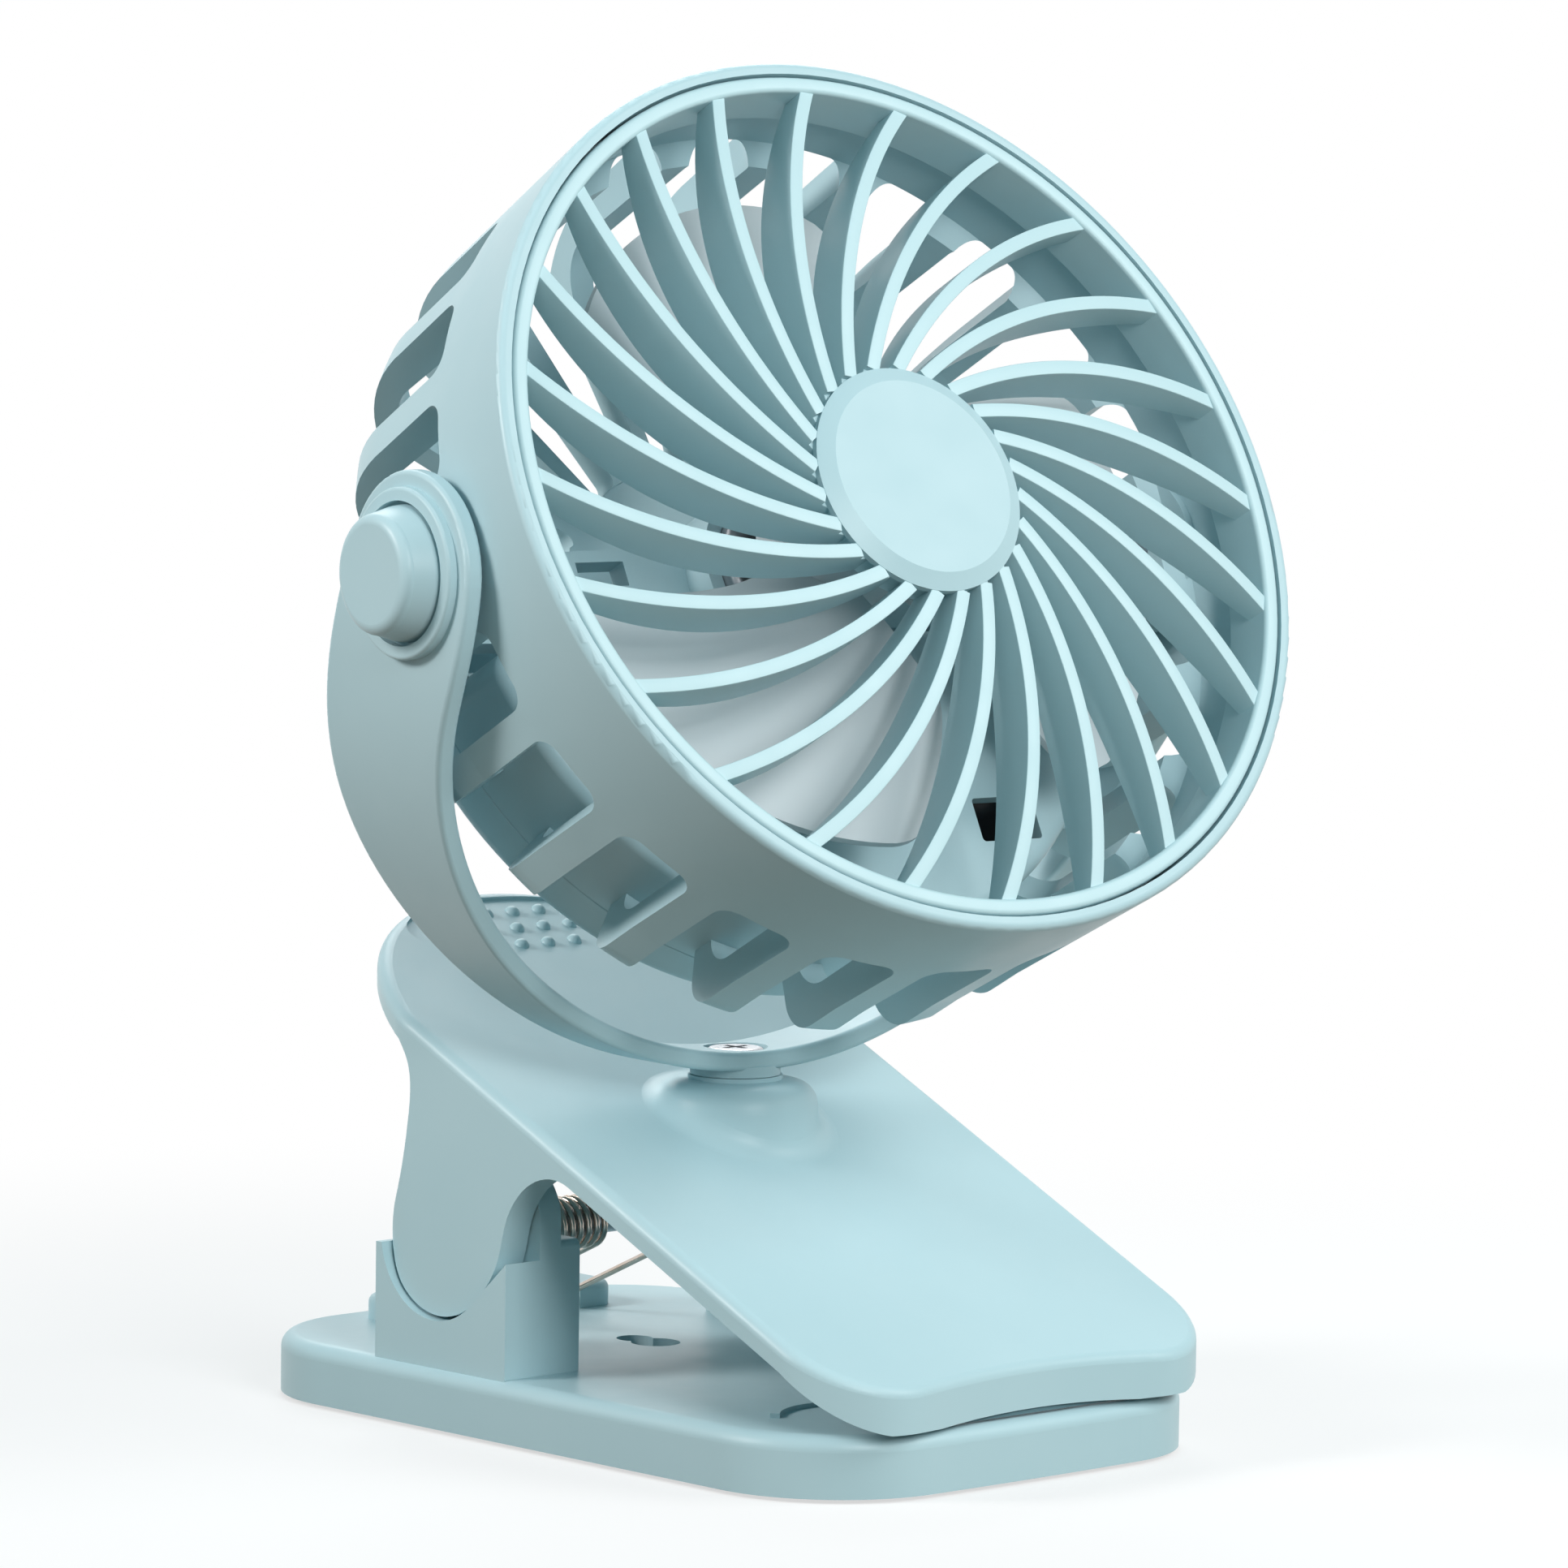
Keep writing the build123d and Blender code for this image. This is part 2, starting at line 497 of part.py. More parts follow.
with BuildPart() as lever:
    with BuildSketch(clip_side):
        with BuildLine():
            Polyline((LEVER_FRONT - 1, lever_top(LEVER_FRONT - 1)),
                     (LEVER_BACK + 1, lever_top(LEVER_BACK + 1)),
                     (LEVER_BACK + 1, lever_under(LEVER_BACK + 1)), (NOSE_BACK, lever_under(NOSE_BACK)),
                     (NOSE_FRONT, jaw_bottom), (LEVER_FRONT - 1, jaw_bottom), close=True)
        make_face()
    extrude(amount=LEVER_HALF_WIDTH, both=True)
    # cheeks that reach down to the hinge pin
    for side in (-1, 1):
        with BuildSketch(clip_side.offset(side * cheek_inner)):
            with BuildLine():
                front_foot = (HINGE_Y + CHEEK_RADIUS * cos(radians(touch_angle)),
                              HINGE_Z + CHEEK_RADIUS * sin(radians(touch_angle)))
                back_foot = (HINGE_Y + CHEEK_RADIUS * cos(radians(CHEEK_LEAVE)),
                             HINGE_Z + CHEEK_RADIUS * sin(radians(CHEEK_LEAVE)))
                ThreePointArc(front_foot, (HINGE_Y, HINGE_Z - CHEEK_RADIUS), back_foot)
                Spline(back_foot, (25.2, 42), (25.6, 51), (CHEEK_BACK, lever_under(CHEEK_BACK) + 1),
                       tangents=((-sin(radians(CHEEK_LEAVE)), cos(radians(CHEEK_LEAVE))), (0.8, 0.6)))
                Line((CHEEK_BACK, lever_under(CHEEK_BACK) + 1), (CHEEK_FRONT, lever_under(CHEEK_FRONT) + 1))
                Line((CHEEK_FRONT, lever_under(CHEEK_FRONT) + 1), (CHEEK_FRONT, lever_under(CHEEK_FRONT)))
                Spline((CHEEK_FRONT, lever_under(CHEEK_FRONT)), (0.8, 35.4), (4.1, 31.2), front_foot,
                       tangents=((1, tan(radians(LEVER_SLOPE))),
                                 (-sin(radians(touch_angle)), cos(radians(touch_angle)))))
            make_face()
        extrude(amount=side * (LEVER_HALF_WIDTH - cheek_inner))
    with BuildSketch() as lever_outline:
        with BuildLine():
            ThreePointArc((-LEVER_HALF_WIDTH, LEVER_BACK_START), (0, LEVER_BACK),
                          (LEVER_HALF_WIDTH, LEVER_BACK_START))
            Line((LEVER_HALF_WIDTH, LEVER_BACK_START), (LEVER_HALF_WIDTH, LEVER_FRONT))
            ThreePointArc((LEVER_HALF_WIDTH, LEVER_FRONT), (0, LEVER_FRONT + LEVER_FRONT_DIP),
                          (-LEVER_HALF_WIDTH, LEVER_FRONT))
            Line((-LEVER_HALF_WIDTH, LEVER_FRONT), (-LEVER_HALF_WIDTH, LEVER_BACK_START))
        make_face()
        fillet(lever_outline.vertices().group_by(Axis.Y)[0], LEVER_FRONT_CORNER)
        fillet(lever_outline.vertices().group_by(Axis.Y)[-1], LEVER_BACK_CORNER)
    extrude(amount=2 * LEVER_Z, mode=Mode.INTERSECT)
    fillet(lever.faces().filter_by(slope_plane).sort_by(Axis.Z)[-1].edges(), LEVER_EDGE)
    # blind holes for the ends of the hinge pin
    for side in (-1, 1):
        with Locations(Plane(origin=(side * cheek_inner, HINGE_Y, HINGE_Z), z_dir=(side, 0, 0))):
            Cylinder(PIN_RADIUS + RUNNING_FIT, PIN_END + PANEL_GAP - cheek_inner,
                     align=(Align.CENTER, Align.CENTER, Align.MIN), mode=Mode.SUBTRACT)
    # mound that carries the yoke, and the boss for its screw below
    with BuildSketch(swivel_section):
        with BuildLine():
            shoulder = Vector(BOSS_SHOULDER, BOSS_TOP - BOSS_SHOULDER_DROP)
            flank = Vector(BOSS_FLANK, BOSS_BASE)
            Polyline((0, BOSS_BASE), (0, BOSS_TOP), (BOSS_RADIUS, BOSS_TOP))
            Spline((BOSS_RADIUS, BOSS_TOP), shoulder, tangents=((1, 0), flank - shoulder))
            Polyline(shoulder, flank, (0, BOSS_BASE))
        make_face()
    mound = revolve(axis=swivel_axis, mode=Mode.PRIVATE)
    with BuildSketch(clip_side):
        with BuildLine():
            Polyline((MOUND_FRONT, lever_under(MOUND_FRONT) + 1), (MOUND_FRONT, BOSS_TOP + 1),
                     (MOUND_BACK, BOSS_TOP + 1), (MOUND_BACK, lever_under(MOUND_BACK) + 1), close=True)
        make_face()
    above = extrude(amount=20, both=True, mode=Mode.PRIVATE)
    add(mound & above)
    mound_foot = lever.edges().filter_by(
        lambda e: abs(slope_plane.to_local_coords(e @ 0.5).Z) < 0.01
        and 1 < ((e @ 0.5) - Vector(0, SWIVEL_Y, (e @ 0.5).Z)).length < BOSS_FLANK + 1)
    fillet(mound_foot, BOSS_BLEND)
    with BuildSketch(Plane.XY.offset(SWIVEL_BOSS_BOTTOM)):
        with Locations((0, SWIVEL_Y)):
            Circle(SWIVEL_BOSS_RADIUS)
    extrude(amount=BOSS_TOP - SWIVEL_BOSS_BOTTOM - 2)
    with Locations((0, SWIVEL_Y, SWIVEL_BOSS_BOTTOM)):
        Cylinder(SWIVEL_SCREW_RADIUS + RUNNING_FIT, 2 * (BOSS_TOP - SWIVEL_BOSS_BOTTOM), mode=Mode.SUBTRACT)
    # oval grip area with a field of dots at the back end
    with BuildSketch(slope_plane):
        with Locations((0, DOT_AREA_Y / cos(radians(LEVER_SLOPE)))):
            Ellipse(DOT_AREA_WIDTH, DOT_AREA_LENGTH)
    extrude(amount=-DOT_AREA_DEPTH, mode=Mode.SUBTRACT)
    dots = []
    for row in range(-2, 3):
        shift = DOT_PITCH / 2 if row % 2 else 0
        for column in range(-4, 5):
            x, y = column * DOT_PITCH + shift, row * DOT_PITCH * sin(pi / 3)
            if hypot(x / (DOT_AREA_WIDTH - 2), y / (DOT_AREA_LENGTH - 2)) <= 1:
                dots.append((x, y + DOT_AREA_Y / cos(radians(LEVER_SLOPE))))
    with Locations(slope_plane.offset(-DOT_AREA_DEPTH - DOT_SINK)):
        with Locations(*dots):
            Sphere(DOT_RADIUS)
lever.part.label = "lever"
export_step(lever.part, "parts/lever.step")

with BuildPart() as lever_pad:
    with BuildSketch(clip_side):
        with BuildLine():
            pad_back = NOSE_BACK - 1.5
            pad_front = NOSE_FRONT + 1.4
            flat = NOSE_FRONT + PAD_THICKNESS / (nose_under(0) - nose_under(-1))
            Polyline((pad_front, nose_under(pad_front)), (pad_back, nose_under(pad_back)),
                     (pad_back, nose_under(pad_back) - PAD_THICKNESS), (flat, jaw_bottom),
                     (pad_front, jaw_bottom), close=True)
        make_face()
    extrude(amount=PAD_HALF_WIDTH, both=True)
lever_pad.part.label = "lever_pad"
export_step(lever_pad.part, "parts/lever_pad.step")

# ---------------------------------------------------------------- spring of the clip
coil_circle = 2 * pi * COIL_RADIUS


def on_coil(x, angle):
    y, z = polar(COIL_RADIUS, angle)
    return Vector(x, HINGE_Y + y, HINGE_Z + z)


def along_coil(angle, pitch):
    rise = pitch / coil_circle
    return Vector(rise, sin(radians(angle)), -cos(radians(angle))).normalized()


def leg_angle(y, z, lower):
    # direction of a leg that leaves the coil as a tangent and ends over the point (y, z)
    away = degrees(atan2(z - HINGE_Z, y - HINGE_Y))
    return away + (1 if lower else -1) * degrees(asin(COIL_RADIUS / hypot(y - HINGE_Y, z - HINGE_Z)))


def joint_arcs(start, start_dir, end, end_dir):
    # two circular arcs that join two points and their directions smoothly
    chord = end - start
    both = start_dir + end_dir
    a = 2 * (start_dir.dot(end_dir) - 1)
    b = -2 * chord.dot(both)
    c = chord.dot(chord)
    reach = -c / b if abs(a) < 1e-9 else (-b - sqrt(b * b - 4 * a * c)) / (2 * a)
    q1, q2 = start + start_dir * reach, end - end_dir * reach
    middle = (q1 + q2) * 0.5
    arcs = []
    for first, corner, last in ((start, q1, middle), (middle, q2, end)):
        weight = (last - first).length / (2 * reach)
        crown = (first + last + corner * (2 * weight)) * (1 / (2 + 2 * weight))
        arcs.append(ThreePointArc(first, crown, last))
    return arcs


spring_top_z = lever_under(SPRING_TOP_Y) - 0.62 * WIRE / cos(radians(LEVER_SLOPE))
low_angle = leg_angle(SPRING_FOOT_Y, SPRING_FOOT_Z, True)
high_angle = leg_angle(SPRING_TOP_Y, spring_top_z, False)
coil_start = low_angle + 270
coil_sweep = coil_start - (high_angle + 90) + 360 * COIL_TURNS
coil_steps = round(coil_sweep / 90)
coil_nodes = []
for k in range(coil_steps + 1):
    angle = coil_start - k * coil_sweep / coil_steps
    x = COIL_INNER_END + COIL_PITCH * k * coil_sweep / coil_steps / 360
    coil_nodes.append((on_coil(x, angle), along_coil(angle, COIL_PITCH if 0 < k < coil_steps else 0)))
up_leg = Vector(0, -cos(radians(low_angle)), -sin(radians(low_angle)))
foot_corner = Vector(COIL_INNER_END, SPRING_FOOT_Y, SPRING_FOOT_Z)
leg_end = Vector(coil_nodes[-1][0].X, SPRING_TOP_Y, spring_top_z)
foot_bend = [(foot_corner - Vector(SPRING_BEND, 0, 0), Vector(1, 0, 0)),
             (foot_corner + up_leg * SPRING_BEND, up_leg)]
right_nodes = foot_bend + coil_nodes + [(leg_end, coil_nodes[-1][1])]
left_nodes = [(Vector(-p.X, p.Y, p.Z), Vector(d.X, -d.Y, -d.Z)) for p, d in reversed(right_nodes)]
spring_nodes = left_nodes + right_nodes

with BuildPart() as clip_spring:
    with BuildLine() as spring_line:
        for (p, dp), (q, dq) in zip(spring_nodes, spring_nodes[1:]):
            if dp.cross(q - p).length < 1e-6 and dq.cross(q - p).length < 1e-6:
                Line(p, q)
            else:
                joint_arcs(p, dp, q, dq)
    spring_wire = spring_line.wires()[0]
    with BuildSketch(Plane(origin=spring_wire @ 0, z_dir=spring_wire % 0)):
        Circle(WIRE / 2)
    sweep(path=spring_wire)
clip_spring.part.label = "clip_spring"
export_step(clip_spring.part, "parts/clip_spring.step")

# smallest air gap between neighbouring turns, measured on points along the wire
samples = 1600
dots_on_wire = [spring_wire @ (k / samples) for k in range(samples + 1)]
skip = int(3 * WIRE / spring_wire.length * samples) + 1
self_gap = min((dots_on_wire[i] - dots_on_wire[j]).length
               for i in range(0, samples // 2, 2) for j in range(i + skip, samples // 2)) - WIRE
print("spring self gap", round(self_gap, 3))

# ---------------------------------------------------------------- swivel: washer, screw and nut
with BuildPart() as swivel_washer:
    with BuildSketch(Plane.XY.offset(BOSS_TOP)):
        with Locations((0, SWIVEL_Y)):
            Circle(BOSS_RADIUS - 0.3)
            Circle(SWIVEL_SCREW_RADIUS + RUNNING_FIT, mode=Mode.SUBTRACT)
    extrude(amount=WASHER_THICKNESS)
swivel_washer.part.label = "swivel_washer"
export_step(swivel_washer.part, "parts/swivel_washer.step")

foot_bottom = BOSS_TOP + WASHER_THICKNESS + RUNNING_FIT
foot_top = foot_bottom + FOOT_HEIGHT
screw_seat = foot_top + RUNNING_FIT
nut_top = SWIVEL_BOSS_BOTTOM - NUT_WASHER_THICKNESS

with BuildPart() as swivel_screw:
    with Locations((0, SWIVEL_Y, nut_top - NUT_HEIGHT - 1)):
        Cylinder(SWIVEL_SCREW_RADIUS, screw_seat - nut_top + NUT_HEIGHT + 1,
                 align=(Align.CENTER, Align.CENTER, Align.MIN))
    chamfer(swivel_screw.edges().sort_by(Axis.Z)[0], 0.4)
    with Locations((0, SWIVEL_Y, screw_seat)):
        Cylinder(SWIVEL_HEAD_RADIUS, SWIVEL_HEAD_HEIGHT, align=(Align.CENTER, Align.CENTER, Align.MIN))
    fillet(swivel_screw.edges().sort_by(Axis.Z)[-1], 1.0)
    with BuildSketch(Plane.XY.offset(screw_seat + SWIVEL_HEAD_HEIGHT)):
        with Locations((0, SWIVEL_Y)):
            Rectangle(SWIVEL_HEAD_RADIUS, 1)
            Rectangle(1, SWIVEL_HEAD_RADIUS)
    extrude(amount=-1.2, mode=Mode.SUBTRACT)
swivel_screw.part.label = "swivel_screw"
export_step(swivel_screw.part, "parts/swivel_screw.step")

with BuildPart() as swivel_nut_washer:
    with BuildSketch(Plane.XY.offset(nut_top)):
        with Locations((0, SWIVEL_Y)):
            Circle(NUT_WASHER_RADIUS)
            Circle(SWIVEL_SCREW_RADIUS + RUNNING_FIT, mode=Mode.SUBTRACT)
    extrude(amount=NUT_WASHER_THICKNESS)
swivel_nut_washer.part.label = "swivel_nut_washer"
export_step(swivel_nut_washer.part, "parts/swivel_nut_washer.step")

with BuildPart() as swivel_nut:
    with BuildSketch(Plane.XY.offset(nut_top - NUT_HEIGHT)):
        with Locations((0, SWIVEL_Y)):
            RegularPolygon(NUT_RADIUS, 6)
            Circle(SWIVEL_SCREW_RADIUS, mode=Mode.SUBTRACT)
    extrude(amount=NUT_HEIGHT)
swivel_nut.part.label = "swivel_nut"
export_step(swivel_nut.part, "parts/swivel_nut.step")

# ---------------------------------------------------------------- yoke
pivot_axis = Axis(tilt_centre, side_dir)
yoke_inner = YOKE_HALF_WIDTH - YOKE_THICKNESS

with BuildPart() as yoke:
    with BuildSketch(yoke_front):
        with BuildLine():
            for half in (YOKE_HALF_WIDTH, yoke_inner):
                Line((-half, EAR_RADIUS + 1), (-half, -YOKE_DROP))
                ThreePointArc((-half, -YOKE_DROP), (0, -YOKE_DROP - half), (half, -YOKE_DROP))
                Line((half, -YOKE_DROP), (half, EAR_RADIUS + 1))
            for side in (-1, 1):
                Line((side * YOKE_HALF_WIDTH, EAR_RADIUS + 1), (side * yoke_inner, EAR_RADIUS + 1))
        make_face()
    extrude(amount=2 * EAR_RADIUS, both=True)
    # outline of the arms seen from the side: a round ear that sweeps back into a narrow strap
    with BuildSketch(yoke_side):
        with BuildLine():
            low = -YOKE_DROP - YOKE_HALF_WIDTH - 1
            strap_front = TILT_OFFSET - STRAP_HALF_WIDTH
            strap_back = TILT_OFFSET + STRAP_HALF_WIDTH
            ear = CenterArc((0, 0), EAR_RADIUS, EAR_BACK, EAR_FRONT - EAR_BACK)
            front_edge = Spline(ear @ 1, (strap_front - 15.0, 0.282 * low), (strap_front - 5.5, 0.567 * low),
                                (strap_front - 0.3, 0.857 * low), (strap_front, low),
                                tangents=(ear % 1, (0, -1)))
            back_edge = Spline(ear @ 0, (strap_back - 4.1, -5.7), (strap_back + 2.2, 0.415 * low),
                               (strap_back + 1.2, 0.719 * low), (strap_back, low),
                               tangents=(-(ear % 0), (0, -1)))
            Line(front_edge @ 1, back_edge @ 1)
        make_face()
    extrude(amount=YOKE_HALF_WIDTH + 1, both=True, mode=Mode.INTERSECT)
    fillet(yoke.edges().filter_by(lambda e: e.length > 40), YOKE_EDGE)
    # collars round the tilt pivots
    for side in (-1, 1):
        with BuildSketch(Plane(pivot_plane.origin + side_dir * (side * (YOKE_HALF_WIDTH - 1)),
                               x_dir=head.y_dir, z_dir=side_dir * side)):
            Circle(COLLAR_RADIUS)
        extrude(amount=COLLAR_HEIGHT + 1)
        collar_face = yoke.faces().filter_by(pivot_plane).sort_by(Axis(tilt_centre, side_dir * side))[-1]
        fillet(collar_face.edges(), COLLAR_EDGE)
        with BuildSketch(Plane(pivot_plane.origin + side_dir * (side * YOKE_HALF_WIDTH),
                               x_dir=head.y_dir, z_dir=side_dir * side)):
            Circle(COLLAR_RADIUS - COLLAR_WALL)
        extrude(amount=COLLAR_HEIGHT + 1, mode=Mode.SUBTRACT)
    with Locations(pivot_plane):
        Cylinder(AXLE_RADIUS + RUNNING_FIT, 2 * YOKE_HALF_WIDTH + 2, mode=Mode.SUBTRACT)
    # foot on the swivel
    with BuildSketch(swivel.offset(foot_bottom)):
        Circle(FOOT_BOSS_RADIUS)
    extrude(amount=FOOT_HEIGHT)
    with BuildSketch(swivel.offset(foot_top)):
        Circle(SWIVEL_HEAD_RADIUS + SOFT_GAP)
    extrude(amount=SWIVEL_HEAD_HEIGHT + 2, mode=Mode.SUBTRACT)
    with BuildSketch(swivel.offset(foot_bottom)):
        Circle(SWIVEL_SCREW_RADIUS + RUNNING_FIT)
    extrude(amount=FOOT_HEIGHT, mode=Mode.SUBTRACT)
yoke.part.label = "yoke"
export_step(yoke.part, "parts/yoke.step")

# ---------------------------------------------------------------- tilt pivots: knobs and their screws
knob_back = YOKE_HALF_WIDTH + PANEL_GAP
screw_hole_end = PIVOT_SCREW_END + PANEL_GAP


def knob(side):
    with BuildPart() as turned:
        with BuildSketch(head):
            with BuildLine():
                Polyline((side * AXLE_END, PIVOT_SCREW_RADIUS), (side * AXLE_END, AXLE_RADIUS),
                         (side * knob_back, AXLE_RADIUS), (side * knob_back, KNOB_RADIUS),
                         (side * (knob_back + 1.5), KNOB_RADIUS - 0.2),
                         (side * (KNOB_FACE - KNOB_ROUND), KNOB_TOP_RADIUS + 0.5))
                RadiusArc((side * (KNOB_FACE - KNOB_ROUND), KNOB_TOP_RADIUS + 0.5),
                          (side * KNOB_FACE, KNOB_TOP_RADIUS - KNOB_ROUND + 0.5), side * KNOB_ROUND * 1.02)
                Polyline((side * KNOB_FACE, KNOB_TOP_RADIUS - KNOB_ROUND + 0.5), (side * KNOB_FACE, 0),
                         (side * screw_hole_end, 0), (side * screw_hole_end, PIVOT_SCREW_RADIUS),
                         (side * AXLE_END, PIVOT_SCREW_RADIUS))
            make_face()
        revolve(axis=pivot_axis)
    return turned.part


pivot_knob_left = knob(-1)
pivot_knob_left.label = "pivot_knob_left"
export_step(pivot_knob_left, "parts/pivot_knob_left.step")

pivot_knob_right = knob(1)
pivot_knob_right.label = "pivot_knob_right"
export_step(pivot_knob_right, "parts/pivot_knob_right.step")

with BuildPart() as pivot_screws:
    for side in (-1, 1):
        with BuildSketch(head):
            with BuildLine():
                Polyline((side * PIVOT_SCREW_START, 0), (side * PIVOT_SCREW_START, PIVOT_SCREW_HEAD - 0.4),
                         (side * (PIVOT_SCREW_START + 0.4), PIVOT_SCREW_HEAD),
                         (side * PIVOT_BOSS_INNER, PIVOT_SCREW_HEAD),
                         (side * PIVOT_BOSS_INNER, PIVOT_SCREW_RADIUS),
                         (side * PIVOT_SCREW_END, PIVOT_SCREW_RADIUS),
                         (side * PIVOT_SCREW_END, 0), close=True)
            make_face()
        revolve(axis=pivot_axis)
pivot_screws.part.label = "pivot_screws"
export_step(pivot_screws.part, "parts/pivot_screws.step")

# ---------------------------------------------------------------- outlines of the pod at the back of the head


def pod_outline(inset, notch):
    # a disc below a level top edge, with rounded corners, and room for the motor cup when notch is set
    with BuildSketch() as outline:
        Circle(POD_RADIUS - inset)
        with Locations((0, POD_TOP - inset)):
            Rectangle(3 * POD_RADIUS, 2 * POD_RADIUS, align=(Align.CENTER, Align.MIN), mode=Mode.SUBTRACT)
        fillet(outline.vertices(), max(POD_CORNER - inset, 1))
        if notch:
            Circle(notch, mode=Mode.SUBTRACT)
    return outline.sketch


pod_screws = [polar(radius, angle) for radius, turn_down in POD_POSTS
              for angle in (turn_down, 180 - turn_down)]
cell_end = CELL_LENGTH / 2
cell_plane = Plane(tilt_centre + head.y_dir * CELL_Y + head_dir * CELL_DEPTH, x_dir=head.y_dir,
                   z_dir=side_dir)
contact_x = cell_end + CELL_NUB + CONTACT_THICKNESS / 2 + 0.1
pod_inner = POD_REAR + POD_WALL
half_vent = (VENT_PITCH - VENT_BAR) / 2
vent_steps = [k for k in range(24) if k % 12]
cup_outer = MOTOR_RADIUS + CUP_WALL
cup_gap = cup_outer + 4 * SOFT_GAP

# ---------------------------------------------------------------- head housing
def housing_section(domed):
    # half section of the housing, with the domed back of the upper part or the flat one of the lower part
    rear = DOME_REAR if domed else HEAD_REAR
    spoke_front = rear + SPOKE_DEPTH
    spoke_corner = DOME_INNER_CORNER if domed else SPOKE_CORNER
    bar_inner = HEAD_REAR_RADIUS - BAR_DEPTH
    turn_in = radians(DOME_TURN)
    dome_end = (HEAD_REAR_RADIUS - DOME_RADIUS * (1 - cos(turn_in)), DOME_SHOULDER - DOME_RADIUS * sin(turn_in))
    flat_end = dome_end[0] - DOME_CORNER * cos(turn_in) if domed else HEAD_REAR_RADIUS - HEAD_REAR_CORNER
    with BuildSketch() as section:
        with BuildLine():
            Line((0, rear), (flat_end, rear))
            if domed:
                RadiusArc((flat_end, rear), dome_end, -DOME_CORNER)
                RadiusArc(dome_end, (HEAD_REAR_RADIUS, DOME_SHOULDER), -DOME_RADIUS)
            else:
                RadiusArc((flat_end, rear), (HEAD_REAR_RADIUS, rear + HEAD_REAR_CORNER), -HEAD_REAR_CORNER)
                Line((HEAD_REAR_RADIUS, rear + HEAD_REAR_CORNER), (HEAD_REAR_RADIUS, DOME_SHOULDER))
            Line((HEAD_REAR_RADIUS, DOME_SHOULDER), (HEAD_RADIUS, HEAD_FRONT - HEAD_LIP))
            RadiusArc((HEAD_RADIUS, HEAD_FRONT - HEAD_LIP), (HEAD_RADIUS - HEAD_LIP, HEAD_FRONT), -HEAD_LIP)
            Polyline((HEAD_RADIUS - HEAD_LIP, HEAD_FRONT), (HEAD_RADIUS - HEAD_WALL, HEAD_FRONT),
                     (HEAD_RADIUS - HEAD_WALL, HEAD_FRONT - RING_DEPTH),
                     (HEAD_RADIUS - HEAD_WALL - 1.5, HEAD_FRONT - RING_DEPTH),
                     (HEAD_RADIUS - HEAD_WALL - 1.5, VENT_FRONT),
                     (bar_inner, VENT_FRONT - 2), (bar_inner, spoke_front + spoke_corner))
            RadiusArc((bar_inner, spoke_front + spoke_corner), (bar_inner - spoke_corner, spoke_front),
                      spoke_corner)
            Polyline((bar_inner - spoke_corner, spoke_front), (VENT_INNER, spoke_front),
                     (VENT_INNER, rear + REAR_DISC), (0, rear + REAR_DISC), (0, rear))
        make_face()
    return section.sketch


def half_plane(y, above):
    # everything above or below a level line across the head
    with BuildSketch() as half:
        with Locations((0, y)):
            Rectangle(4 * HEAD_RADIUS, 2 * HEAD_RADIUS, align=(Align.CENTER, Align.MIN if above else Align.MAX))
    return half.sketch


